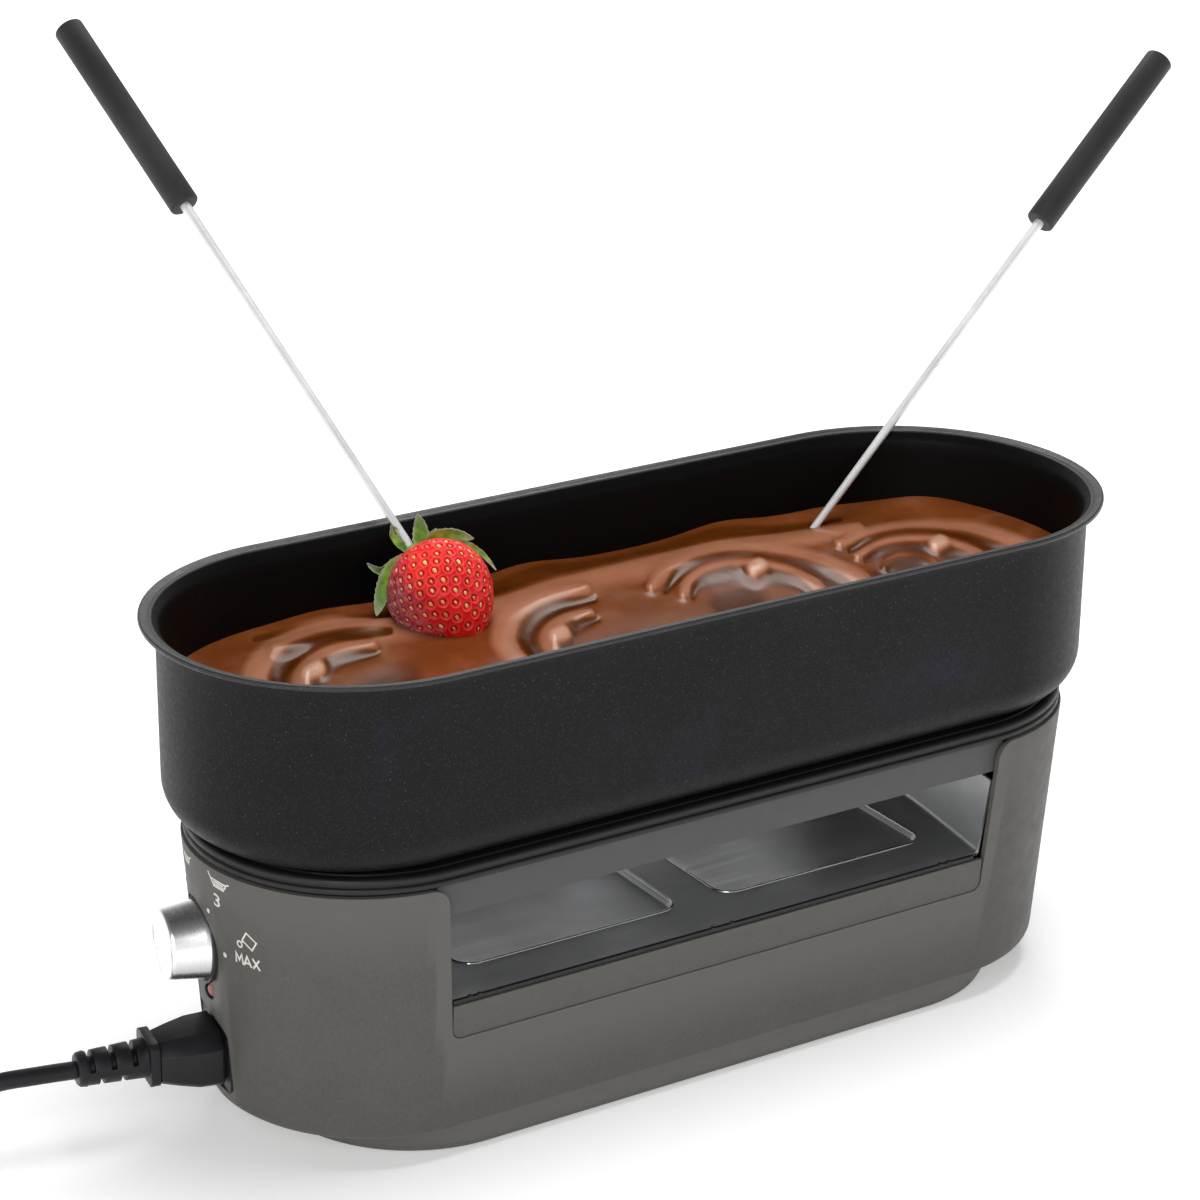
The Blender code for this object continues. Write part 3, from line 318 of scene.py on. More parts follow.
def berry_material():
    """Strawberry skin: bright red face; on one side and below, darker violet (painted shade) under a fine
    violet-pink network (painted sheen); a pink tint on the far side (painted highlight); darker dimples
    (painted shade) with pale rims (painted highlight).
    """
    n = Nodes("strawberry_skin")
    across = n.add("VectorMath", operation="DOT_PRODUCT")
    n.link(n.place, across.inputs[0])
    lean = Vector((-0.70, 0.42, -0.50))
    across.inputs[1].default_value = lean
    centre = (TO_ROW @ BERRY_HEART).dot(lean)
    # One side and below: darker violet as painted shade, a light pink network over it as painted sheen.
    side = n.grey(across.outputs["Value"], 0, 1, centre + 0.003, centre + 0.016)
    web = n.grey(n.noise(420, 3, 0.6), 0, 1, 0.44, 0.6)
    painted_sheen = n.math("MULTIPLY", side, n.grey(web, 0.05, 0.75))
    # Far side: pink tint as painted highlight.
    far = n.grey(across.outputs["Value"], 1, 0, centre - 0.020, centre - 0.006)
    far_side_highlight = n.math("MULTIPLY", far, n.grey(n.noise(380, 3, 0.6), 0, 0.4, 0.5, 0.66))
    skin = n.ramp(n.noise(95, 3), [(0.3, (0.66, 0.006, 0.008)), (0.55, (0.84, 0.010, 0.012)),
                                   (0.8, (0.92, 0.035, 0.016))])
    with_far_highlight = n.mix(far_side_highlight, skin, (0.72, 0.13, 0.17))
    with_side_shade_and_sheen = n.mix(painted_sheen, n.mix(side, with_far_highlight, (0.34, 0.035, 0.075)), (0.62, 0.32, 0.40))
    # Dimples darker as painted shade, their rims pale as painted highlight.
    dimple_shade_and_rim_highlight = n.add("Attribute", attribute_name="dimple_shade_and_rim_highlight")
    shaded_dimples = n.mix(n.grey(dimple_shade_and_rim_highlight.outputs["Fac"], 0, 0.75, 0.5, 0.9), with_side_shade_and_sheen, (0.30, 0.004, 0.008))
    n.link(n.mix(n.grey(dimple_shade_and_rim_highlight.outputs["Fac"], 0.3, 0, 0.02, 0.3), shaded_dimples, (0.95, 0.22, 0.20)),
           n.shader.inputs["Base Color"])
    n.shader.inputs["Specular IOR Level"].default_value = 0.22
    n.link(n.grey(n.noise(300, 3), 0.28, 0.42, 0.3, 0.7), n.shader.inputs["Roughness"])
    n.link(n.bump(n.noise(650, 3), 0.4, 0.0002), n.shader.inputs["Normal"])
    return n.mat


def seed_material():
    """Achenes: yellow to reddish brown, seed to seed."""
    n = Nodes("strawberry_seed")
    n.link(n.ramp(n.noise(190, 1), [(0.35, (0.78, 0.24, 0.07)), (0.5, (0.92, 0.44, 0.14)),
                                    (0.7, (0.95, 0.66, 0.28))]),
           n.shader.inputs["Base Color"])
    n.shader.inputs["Roughness"].default_value = 0.35
    n.link(n.bump(n.noise(2500, 2), 0.4, 0.00005), n.shader.inputs["Normal"])
    return n.mat


def leaf_material():
    """Sepals: green with yellow patches, fine veins and pale, slightly dry edges."""
    n = Nodes("strawberry_leaf")
    patch = n.noise(150, 3, 0.6)
    vein = n.noise(1100, 2, 0.5)
    green = n.ramp(patch, [(0.3, (0.045, 0.14, 0.006)), (0.52, (0.13, 0.30, 0.012)),
                           (0.72, (0.36, 0.46, 0.03))])
    veined = n.mix(n.grey(vein, 0, 0.3, 0.5, 0.7), green, (0.25, 0.34, 0.07))
    edge = n.add("Attribute", attribute_name="edge")
    n.link(n.mix(edge.outputs["Fac"], veined, (0.42, 0.46, 0.33)), n.shader.inputs["Base Color"])
    n.shader.inputs["Roughness"].default_value = 0.48
    n.shader.inputs["Specular IOR Level"].default_value = 0.35
    n.link(n.bump(vein, 0.5, 0.00015), n.shader.inputs["Normal"])
    return n.mat


def tray_material():
    """Bright pressed sheet: mostly even grey with faint drawn lines and slow cloudy tones."""
    n = Nodes("tray_steel")
    cloud = n.noise(16, 3, 0.55)
    lines = n.noise(240, 3, 0.6, (0.05, 1, 1))
    n.link(n.ramp(cloud, [(0.3, (0.30, 0.305, 0.31)), (0.55, (0.40, 0.405, 0.41)),
                          (0.75, (0.50, 0.505, 0.52))]),
           n.shader.inputs["Base Color"])
    n.shader.inputs["Metallic"].default_value = 0.72
    n.link(n.grey(lines, 0.3, 0.4, 0.35, 0.65), n.shader.inputs["Roughness"])
    n.link(n.bump(lines, 0.2, 0.000004), n.shader.inputs["Normal"])
    return n.mat


def knob_material():
    """Satin aluminium turned on a lathe: very fine rings, soft and even."""
    n = Nodes("satin_aluminium")
    n.link(n.ramp(n.noise(60, 2), [(0.3, (0.84, 0.84, 0.85)), (0.7, (0.90, 0.90, 0.905))]),
           n.shader.inputs["Base Color"])
    n.shader.inputs["Metallic"].default_value = 1.0
    lines = n.noise(4200, 2, 0.6, (1, 0.03, 0.03))
    n.link(n.grey(lines, 0.26, 0.275, 0.35, 0.65), n.shader.inputs["Roughness"])
    return n.mat


MATERIALS = {
    "shell_plastic": plastic("shell_plastic", (0.086, 0.0815, 0.0742), 0.52, 0.28, 0.05),
    "frame_plastic": plastic("frame_plastic", (0.062, 0.062, 0.0615), 0.55, 0.25, 0.05),
    "black_plastic": plastic("black_plastic", (0.010, 0.0095, 0.0095), 0.42, 0.35, 0.2),
    "polished_steel": metal("polished_steel", (0.66, 0.67, 0.68), 0.17, (0.06, 1.0, 1.0)),
    "satin_aluminium": knob_material(),
    "nonstick_coating": coating("nonstick_coating", (0.0056, 0.0056, 0.0054), 0.45, 0.15),
    "chocolate": chocolate_material(),
    "strawberry_skin": berry_material(),
    "strawberry_leaf": leaf_material(),
    "handle_plastic": plastic("handle_plastic", (0.022, 0.022, 0.0225), 0.5, 0.35, 0.25, 1300, 0.00002),
    "cord_rubber": plastic("cord_rubber", (0.0085, 0.0085, 0.0105), 0.42, 0.3, 0.2, 1200, 0.00002),
    "rod_steel": metal("rod_steel", (0.95, 0.95, 0.96), 0.38, (0.06, 1.0, 1.0), metallic=0.5),
    "lens_red": plastic("lens_red", (0.40, 0.13, 0.13), 0.2, 0.5, 0.2, 500, 0.00001),
    "brass": metal("brass", (0.75, 0.72, 0.62), 0.25),
    "foot_rubber": plastic("foot_rubber", (0.02, 0.02, 0.02), 0.75, 0.3, 0.2, 700, 0.00005),
    "insulator": plastic("insulator", (0.6, 0.57, 0.5), 0.6, 0.4, 0.1, 600, 0.00003, 1.05),
}
TRAY = tray_material()
SEED = seed_material()
# Darker copy of the coating for the pot's inside: painted shade. Lighter copy with brighter flecks for the
# lip: painted highlight.
SHADED_INSIDE_COAT = coating("inside_coating_painted_shade", (0.0022, 0.0022, 0.0024), 0.5, 0.12, (0.006, 0.006, 0.007),
                      (0.003, 0.003, 0.005))
LIT_LIP_COAT = coating("lip_coating_painted_highlight", (0.011, 0.011, 0.011), 0.36, 0.42, (0.05, 0.05, 0.055),
                   (0.014, 0.014, 0.018))
PRINT = plastic("dial_print", (0.72, 0.71, 0.68), 0.55, 0.3, 0.08, 900, 0.00001, 1.0)

slot_of = {part["node"]: part["material_slot"] for part in frame["record"]["subparts"]}
for node_name, node_obj in frame["nodes"].items():
    node_obj.data.materials.clear()
    node_obj.data.materials.append(MATERIALS[slot_of[node_name]])


# ---------------------------------------------------------------- mesh helpers (mm)

def add_mesh(name, points, faces, mat):
    """New object from points and faces, normals turned outwards."""
    mesh = bpy.data.meshes.new(name)
    mesh.from_pydata([tuple(p) for p in points], [], faces)
    mesh.materials.append(mat)
    body = bmesh.new()
    body.from_mesh(mesh)
    bmesh.ops.recalc_face_normals(body, faces=body.faces)
    body.to_mesh(mesh)
    body.free()
    obj = bpy.data.objects.new(name, mesh)
    bpy.context.scene.collection.objects.link(obj)
    return obj


def loft(name, rings, mat, closed=False):
    """Skin rings that have equal counts: capped at both ends, or joined round if closed."""
    count = len(rings[0])
    points = [p for ring in rings for p in ring]
    faces = []
    for i in range(len(rings) if closed else len(rings) - 1):
        low, high = i * count, ((i + 1) % len(rings)) * count
        for k in range(count):
            j = (k + 1) % count
            faces.append((low + k, low + j, high + j, high + k))
    if not closed:
        faces.append(tuple(reversed(range(count))))
        faces.append(tuple(range(len(points) - count, len(points))))
    return add_mesh(name, points, faces, mat)


def stadium(half, radius, z, steps=56):
    """Outline with straight long sides and round ends, counter-clockwise."""
    points = []
    for side in (1, -1):
        for i in range(steps + 1):
            a = math.radians(-90 + 180 * i / steps)
            points.append(Vector((side * (half + radius * math.cos(a)), side * radius * math.sin(a), z)))
    return points


def frame_of(axis):
    """Two directions square to an axis."""
    axis = Vector(axis).normalized()
    up = Vector((0, 0, 1)) if abs(axis.z) < 0.95 else Vector((1, 0, 0))
    side = up.cross(axis).normalized()
    return side, axis.cross(side)


def circle(centre, axis, radius, steps):
    """Ring of points about an axis."""
    side, up = frame_of(axis)
    turns = [2 * math.pi * i / steps for i in range(steps)]
    return [centre + side * (radius * math.cos(a)) + up * (radius * math.sin(a)) for a in turns]


def turned(name, origin, axis, profile, mat, steps=64, closed=False):
    """Solid of revolution from (distance along the axis, radius) pairs."""
    axis = Vector(axis).normalized()
    return loft(name, [circle(origin + axis * d, axis, r, steps) for d, r in profile], mat, closed)


def extruded(name, outline, travel, mat):
    """Flat outline pushed along a vector."""
    travel = Vector(travel)
    return loft(name, [outline, [p + travel for p in outline]], mat)


def rounded(corners, radii, steps=8):
    """Polygon of (u, v) corners with each corner rounded by its radius."""
    result = []
    count = len(corners)
    for i, radius in enumerate(radii):
        here = Vector(corners[i])
        if radius == 0:
            result.append(here)
            continue
        back = (Vector(corners[i - 1]) - here).normalized()
        ahead = (Vector(corners[(i + 1) % count]) - here).normalized()
        half_angle = back.angle(ahead) / 2
        centre = here + (back + ahead).normalized() * (radius / math.sin(half_angle))
        start = here + back * (radius / math.tan(half_angle)) - centre
        end = here + ahead * (radius / math.tan(half_angle)) - centre
        sweep = start.angle_signed(end)
        for k in range(steps + 1):
            result.append(centre + Matrix.Rotation(-sweep * k / steps, 2) @ start)
    return result


def rounded_box(low, high, radius):
    """Rounded rectangle between two (u, v) corners."""
    return rounded([(low[0], low[1]), (high[0], low[1]), (high[0], high[1]), (low[0], high[1])],
                   [radius] * 4)


def baked(obj):
    """Apply every modifier."""
    depsgraph = bpy.context.evaluated_depsgraph_get()
    obj.data = bpy.data.meshes.new_from_object(obj.evaluated_get(depsgraph))
    obj.modifiers.clear()
    return obj


def combine(obj, tool, operation="DIFFERENCE"):
    """Apply one boolean and throw the tool away."""
    step = obj.modifiers.new(operation.title(), "BOOLEAN")
    step.operation = operation
    step.solver = "EXACT"
    step.object = tool
    baked(obj)
    bpy.data.objects.remove(tool, do_unlink=True)
    return obj


def bevel(obj, width, segments=2, angle=32):
    """Round the sharp edges a little."""
    step = obj.modifiers.new("Bevel", "BEVEL")
    step.width = width
    step.segments = segments
    step.limit_method = "ANGLE"
    step.angle_limit = math.radians(angle)
    step.use_clamp_overlap = True
    return baked(obj)


def place(obj, body, slot, *nodes, angle=35):
    """Move a piece into the row frame, shade it smooth, tie it to its body and hide its CAD nodes. The slot
    is not used.
    """
    obj.data.transform(TO_ROW @ obj.matrix_world)
    obj.matrix_world = Matrix.Identity(4)
    obj.data.shade_smooth()
    obj.data.set_sharp_from_angle(angle=math.radians(angle))
    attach(obj, body)
    if nodes:
        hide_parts(*nodes)
    return obj


def smooth_route(knots, spacing):
    """Evenly spaced points on a smooth curve through the knots."""
    knots = [Vector(k) for k in knots]
    padded = [2 * knots[0] - knots[1]] + knots + [2 * knots[-1] - knots[-2]]
    fine = []
    for a, b, c, d in zip(padded, padded[1:], padded[2:], padded[3:]):
        for k in range(20):
            t = k / 20
            fine.append(0.5 * (2 * b + (c - a) * t + (2 * a - 5 * b + 4 * c - d) * t ** 2
                               + (3 * b - a - 3 * c + d) * t ** 3))
    fine.append(knots[-1])
    lengths = [0.0]
    for p, q in zip(fine, fine[1:]):
        lengths.append(lengths[-1] + (q - p).length)
    count = max(2, round(lengths[-1] / spacing))
    route, k = [], 0
    for i in range(count + 1):
        target = lengths[-1] * i / count
        while k < len(fine) - 2 and lengths[k + 1] < target:
            k += 1
        part = (target - lengths[k]) / max(lengths[k + 1] - lengths[k], 1e-9)
        route.append(fine[k].lerp(fine[k + 1], part))
    return route


# ---------------------------------------------------------------- mains lead

COIL_CENTRE = Vector((-329, 84.4, 0))
PLUG_START = COIL_CENTRE + Vector((-41, 56, 18.4))
PLUG_AXIS = Vector((-0.1, 0.995, 0)).normalized()
COIL_STATIONS = [
    (0, 43.8, 3.4), (35, 40.3, 3.4), (70, 36.8, 3.4), (180, 36.7, 3.4), (360, 36.6, 3.4), (395, 33.2, 3.4),
    (430, 29.9, 3.4), (540, 29.9, 3.4), (640, 29.9, 3.5), (680, 30.1, 6.8), (720, 30.3, 10.3),
    (820, 30.0, 10.3),
    (940, 30.0, 10.3), (970, 33.4, 10.4), (1000, 36.8, 10.3), (1120, 36.8, 10.3), (1240, 36.7, 10.3),
    (1270, 35.5, 14.3), (1300, 30.8, 17.0), (1420, 30.2, 17.0), (1600, 30.2, 17.0), (1630, 33.6, 17.1),
    (1660, 36.9, 17.0), (1760, 36.9, 17.0), (1825, 37.6, 16.9), (1850, 40.4, 15.6), (1878, 43.2, 12.6),
    (1900, 44.1, 10.3),
]


def coil_knots():
    """Knots of the coil's turns, clockwise from where the cord arrives."""
    knots, start = [], math.radians(-85.2)
    for (a0, r0, z0), (a1, r1, z1) in zip(COIL_STATIONS, COIL_STATIONS[1:]):
        count = max(1, round((a1 - a0) / 24))
        for k in range(count):
            t = k / count
            ease = t * t * (3 - 2 * t)
            turn = start - math.radians(a0 + (a1 - a0) * t)
            radius = r0 + (r1 - r0) * ease
            knots.append(COIL_CENTRE + Vector((radius * math.cos(turn), radius * math.sin(turn),
                                               z0 + (z1 - z0) * ease)))
    return knots


def make_cord():
    """One mains cord: out of the strain relief, down to the table, coiled, and into the plug."""
    run = [at_end(CORD_START, 0, INLET_HEIGHT), at_end(125, -0.4, INLET_HEIGHT + 0.3),
           at_end(141, -1.6, INLET_HEIGHT - 0.6), at_end(162, -3, 24), at_end(182, -4, 11.5),
           at_end(198, -4.5, 4.4)]
    tail = [COIL_CENTRE + Vector((-43.9, 4, 10)), COIL_CENTRE + Vector((-43.9, 18, 11.5)),
            PLUG_START - PLUG_AXIS * 20 + Vector((-2, 0, -2.5)),
            PLUG_START - PLUG_AXIS * 8 + Vector((-0.3, 0, -0.4)),
            PLUG_START - PLUG_AXIS * 0.3]
    route = smooth_route(run + coil_knots() + tail, 3.0)
    curve = bpy.data.curves.new("mains_cord", "CURVE")
    curve.dimensions = "3D"
    curve.bevel_depth = CORD_RADIUS * 0.001
    curve.bevel_resolution = 6
    curve.use_fill_caps = True
    line = curve.splines.new("POLY")
    line.points.add(len(route) - 1)
    for point, here in zip(line.points, route):
        point.co = (*(TO_ROW @ here), 1)
    line.use_smooth = True
    curve.materials.append(MATERIALS["cord_rubber"])
    cord = bpy.data.objects.new("mains_cord", curve)
    bpy.context.scene.collection.objects.link(cord)
    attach(cord, "cord_set")
    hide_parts("cord_run", "cord_coil", "cord_tail")
    return cord


def make_tie():
    """Soft band that holds the coil's turns together."""
    centre = COIL_CENTRE + Vector((33.4 * math.cos(0.3), 33.4 * math.sin(0.3), 10.2))
    radial = Vector((math.cos(0.3), math.sin(0.3), 0))
    along = Vector((-math.sin(0.3), math.cos(0.3), 0))
    rings = []
    for width, grow in ((-4.5, 0.0), (-4.2, 0.45), (4.2, 0.45), (4.5, 0.0)):
        ring = []
        for u, v in rounded_box((-7.3 - grow, -9.9), (7.3 + grow, 10.6 + grow), 5.4):
            ring.append(centre + radial * u + Vector((0, 0, v)) + along * width)
        rings.append(ring)
    tie = loft("coil_tie", rings, MATERIALS["foot_rubber"])
    return place(tie, "cord_set", "foot_rubber")


cord = make_cord()
tie = make_tie()


# ---------------------------------------------------------------- base

def shell_radius(z):
    """Outer radius of the base's round ends at a height."""
    return SHELL_RADIUS_TOP - SHELL_TAPER * (SHELL_TOP - z)


def flat_out(z):
    """How far out the control flat is at a height."""
    return shell_radius(z) - FLAT_DEPTH


def cut_outline(y):
    """Outline of the cut-out in a long side, with the wings' top corners rounded outwards."""
    reach, over = 15.4, SHELL_TOP + 5
    corners = [
        (-CUT_HALF_BOTTOM, CUT_BOTTOM), (CUT_HALF_BOTTOM, CUT_BOTTOM), (CUT_HALF_TOP, SHELL_TOP),
        (CUT_HALF_TOP + reach, SHELL_TOP + 0.05), (CUT_HALF_TOP + reach, over),
        (-CUT_HALF_TOP - reach, over), (-CUT_HALF_TOP - reach, SHELL_TOP + 0.05),
        (-CUT_HALF_TOP, SHELL_TOP),
    ]
    return [Vector((u, y, v)) for u, v in rounded(corners, [4, 4, 7, 0, 0, 0, 0, 7], 12)]


def make_shell():
    """Base shell with its cut-outs, control flat and openings, edges softly rounded."""
    mat = MATERIALS["shell_plastic"]
    rings = []
    for z, back in ((12.0, 4.6), (12.15, 3.1), (12.6, 1.7), (13.4, 0.7), (14.6, 0.15), (16.0, 0.0),
                    (40, 0.0), (75, 0.0)):
        rings.append(stadium(BASE_HALF - back, shell_radius(z), z))
    rings.append(stadium(BASE_HALF, shell_radius(SHELL_TOP - 0.7), SHELL_TOP - 0.7))
    rings.append(stadium(BASE_HALF, shell_radius(SHELL_TOP) - 0.2, SHELL_TOP - 0.2))
    rings.append(stadium(BASE_HALF, shell_radius(SHELL_TOP) - 0.7, SHELL_TOP))
    shell = loft("base_housing", rings, mat)
    skirt = loft("skirt", [
        stadium(SKIRT_HALF, shell_radius(2.5) - 1.9, SKIRT_BOTTOM),
        stadium(SKIRT_HALF, shell_radius(2.9) - 1.3, SKIRT_BOTTOM + 0.4),
        stadium(SKIRT_HALF, shell_radius(8.0) - 0.15, 8.0),
        stadium(SKIRT_HALF, shell_radius(8.8), 8.8),
        stadium(SKIRT_HALF, shell_radius(14.0) - 0.01, 14.0),
    ], mat)
    combine(shell, skirt, "UNION")
    combine(shell, loft("hollow", [stadium(BASE_HALF, shell_radius(z) - WALL, z)
                                   for z in (SHELL_FOOT + WALL, SHELL_TOP + 1)], mat))
    combine(shell, loft("low_hollow", [stadium(SKIRT_HALF, shell_radius(z) - WALL - 0.6, z)
                                       for z in (SKIRT_BOTTOM - 1, SHELL_FOOT + WALL + 1)], mat))
    for y in (-SHELL_RADIUS_TOP - 5, SHELL_RADIUS_TOP + 5 - 30):
        combine(shell, extruded("side_cut", cut_outline(y), (0, 30, 0), mat))
    flats = []
    for z in (17.5, KNOB_HEIGHT):
        near = flat_out(z)
        flats.append([at_end(near, -22, z), at_end(near, 22, z), at_end(near + 20, 22, z),
                      at_end(near + 20, -22, z)])
    combine(shell, loft("flat", flats, mat))
    seat = flat_out(KNOB_HEIGHT)
    combine(shell, turned("seat", at_end(0, 0, KNOB_HEIGHT), OUT, [(seat, 16.4), (seat + 12, 16.4)],
                          mat, 96))
    combine(shell, turned("shaft_hole", at_end(0, 0, KNOB_HEIGHT), OUT, [(50, 4.4), (70, 4.4)], mat, 32))
    combine(shell, turned("lamp_hole", at_end(0, LAMP_SIDE, LAMP_HEIGHT), OUT, [(50, 3.4), (70, 3.4)],
                          mat, 48))
    hole = rounded_box((-16.5, INLET_HEIGHT - 12.7), (16.5, INLET_HEIGHT + 12.7), 3)
    combine(shell, extruded("inlet_hole", [at_end(48, u, v) for u, v in hole], OUT * 20, mat))
    bevel(shell, 0.45, 2, 34)
    edge = shell_radius(SKIRT_BOTTOM) - 1.9
    pad = [(edge - 0.1, 2.4), (edge - 0.3, 1.0), (edge - 1.0, 0.4), (edge - 4, 0.4), (edge - 4, 2.4)]
    plate = loft("bottom_plate", [stadium(SKIRT_HALF, edge - 1.8, z) for z in (3.2, 5.2)],
                 MATERIALS["frame_plastic"])
    place(plate, "base", "frame_plastic", "base_plate")
    foot = loft("plinth_pad", [stadium(SKIRT_HALF, r, z) for r, z in pad], MATERIALS["shell_plastic"], True)
    place(foot, "base", "shell_plastic", angle=30)
    return place(shell, "base", "shell_plastic", "base_shell", angle=30)


def make_sill(label, sign):
    """Lower panel that closes the bottom of a cut-out."""
    bottom, half = CUT_BOTTOM + 0.1, CUT_HALF_BOTTOM - 0.12
    corners = [(-half, bottom), (half, bottom), (half, SILL_TOP), (-half, SILL_TOP)]
    face = shell_radius(55) - SILL_INSET
    outline = [Vector((u, sign * face, v)) for u, v in rounded(corners, [3.9, 3.9, 0, 0], 10)]
    sill = extruded(f"{label}_sill_panel", outline, (0, -sign * 2, 0), MATERIALS["shell_plastic"])
    for vertex in sill.data.vertices:
        vertex.co.y += sign * SHELL_TAPER * (vertex.co.z - 55)
    bevel(sill, 0.12, 2)
    return place(sill, "base", "frame_plastic", f"{label}_sill")


def make_rail(label, sign):
    """Apron under the top ring, with a folded lower edge."""
    face = SHELL_RADIUS_TOP - 0.5 - RAIL_INSET
    profile = rounded([(face, RAIL_BOTTOM), (face, RING_BOTTOM - 0.3), (face - 2, RING_BOTTOM - 0.3),
                       (face - 2, RAIL_BOTTOM)], [0.6, 0, 0, 0.6], 5)
    outline = [Vector((-124, sign * u, v)) for u, v in profile]
    rail = extruded(f"{label}_apron", outline, (248, 0, 0), MATERIALS["frame_plastic"])
    return place(rail, "base", "frame_plastic", f"{label}_rail")


def end_wall(sign, out, z):
    """Line of the tray's end in plan, bowed out at the middle, from the front to the back."""
    line = []
    for k in range(33):
        y = -59.9 + 119.8 * k / 32
        drop = math.sqrt(y * y + 144) - 12
        slope = 0.168 if sign > 0 else 0.105
        line.append(Vector((sign * (124.6 - slope * drop + out), y, z)))
    return line


def make_tray():
    """Reflector tray: pressed sheet with two beaded pan places, rising at both ends in a soft bend."""
    under = TRAY_TOP - TRAY_SHEET
    left, right = end_wall(-1, 0, under), end_wall(1, 0, under)
    tray = extruded("tray_sheet", right + list(reversed(left)), (0, 0, TRAY_SHEET), TRAY)
    beads = []
    for low, high in (((-101.5, -40.5), (-6.8, 40.5)), ((11.6, -40.5), (106.5, 40.5))):
        rim = [Vector((u, v, under - PAN_DEPTH)) for u, v in rounded_box(low, high, 8)]
        combine(tray, extruded("pan_outer", rim, (0, 0, PAN_DEPTH + TRAY_SHEET), TRAY), "UNION")
        rings = []
        for inset, z in ((2.6, TRAY_TOP - PAN_DEPTH), (2.0, TRAY_TOP - PAN_DEPTH + 0.15),
                         (0.9, TRAY_TOP - 0.1),
                         (0.8, TRAY_TOP), (0.8, TRAY_TOP + 4)):
            well = rounded_box((low[0] + inset, low[1] + inset), (high[0] - inset, high[1] - inset),
                               8 - inset)
            rings.append([Vector((u, v, z)) for u, v in well])
        combine(tray, loft("pan_inner", rings, TRAY))
        outline = [Vector(p) for p in rounded_box((low[0] + 0.4, low[1] + 0.4),
                                                  (high[0] - 0.4, high[1] - 0.4), 7.6)]
        rings = []
        for i, here in enumerate(outline):
            ahead, back = outline[(i + 1) % len(outline)], outline[i - 1]
            across = Vector(((ahead - back).y, -(ahead - back).x)).normalized()
            turns = [math.radians(36 * k) for k in range(10)]
            rings.append([Vector((here.x + across.x * 0.62 * math.cos(a),
                                  here.y + across.y * 0.62 * math.cos(a),
                                  TRAY_TOP + 0.62 * math.sin(a))) for a in turns])
        beads.append(loft("pan_bead", rings, TRAY, True))
    place(tray, "base", "polished_steel", "reflector_tray", angle=25)
    for label, bead in zip(("left", "right"), beads):
        bead.name = f"pan_bead_{label}"
        bead.data.materials[0] = MATERIALS["polished_steel"]
        place(bead, "base", "polished_steel", angle=80)
    # (run outwards, height) of the bend and the leaning wall, then back down its outer side
    bend = [(-2.4, 64.0), (-1.5, 64.12), (-0.7, 64.5), (-0.15, 65.2), (0.1, 66.2), (4.6, 92.4),
            (4.75, 92.9),
            (5.1, 93.2), (5.6, 93.1), (5.75, 92.6), (0.95, 66.0), (0.7, 64.6), (0.3, 63.5),
            (-0.4, 63.3), (-2.4, 63.3)]
    for label, sign in (("left", -1), ("right", 1)):
        rings = [end_wall(sign, out, z) for out, z in bend]
        lines = [[ring[k] for ring in rings] for k in range(len(rings[0]))]
        place(loft(f"tray_wall_{label}", lines, TRAY), "base", "polished_steel", angle=50)
    make_tray_shade_strips()


def make_tray_shade_strips():
    """Dark strips that hold the tray's long edges, with small pairs of stops on them; the black strips also
    stand in for the shadow line between tray and sill, painted shade.
    """
    for label, sign in (("front", -1), ("back", 1)):
        profile = rounded([(60.15, SILL_TOP - 0.2), (61.0, SILL_TOP - 0.2), (61.0, TRAY_TOP - 0.25),
                           (60.15, TRAY_TOP + 0.12)], [0, 0.1, 0.3, 0.1], 4)
        outline = [Vector((-116.9, sign * u, v)) for u, v in profile]
        strip = extruded(f"tray_strip_{label}", outline, (230.5, 0, 0), MATERIALS["black_plastic"])
        for x in (-110, -106, -6.5, 2, 98, 102):
            stop = turned("stop", Vector((x, sign * 60.5, TRAY_TOP - 0.3)), (0, 0, 1),
                          [(0, 0.9), (0.5, 0.85), (0.75, 0.6), (0.85, 0.2)], MATERIALS["black_plastic"], 20)
            combine(strip, stop, "UNION")
        place(strip, "base", "black_plastic")


def make_ring():
    """Top ring that carries the pot, with stepped ribs round its edge."""
    profile = [(64.1, 111.2), (64.6, 111.3), (64.8, 111.6), (64.8, 112.9), (64.6, 113.3), (63.9, 113.7),
               (63.9, 114.4),
               (64.1, 114.8), (64.8, 115.0), (64.8, 115.9), (64.5, 116.6), (63.9, 117.0), (63.2, 117.2),
               (61.6, 117.2), (61.2, 116.7), (60.6, 116.7), (60.2, 117.2), (50.5, 117.2), (50.3, 117.0),
               (50.3, 113.7), (53.3, 111.2)]
    # Black collar behind the shell wall: a dark sheet that darkens the gap over the shell, painted shade.
    collar = [(58.9, 105.0), (59.9, 105.0), (59.9, 111.1), (58.9, 111.1)]
    shade_collar = loft("ring_shade_collar", [stadium(BASE_HALF, r, z) for r, z in collar],
                  MATERIALS["black_plastic"], True)
    place(shade_collar, "base", "black_plastic")
    ring = loft("support_ring", [stadium(BASE_HALF, r, z) for r, z in profile],
                MATERIALS["black_plastic"], True)
    return place(ring, "base", "black_plastic", "top_ring")


# ---------------------------------------------------------------- control end

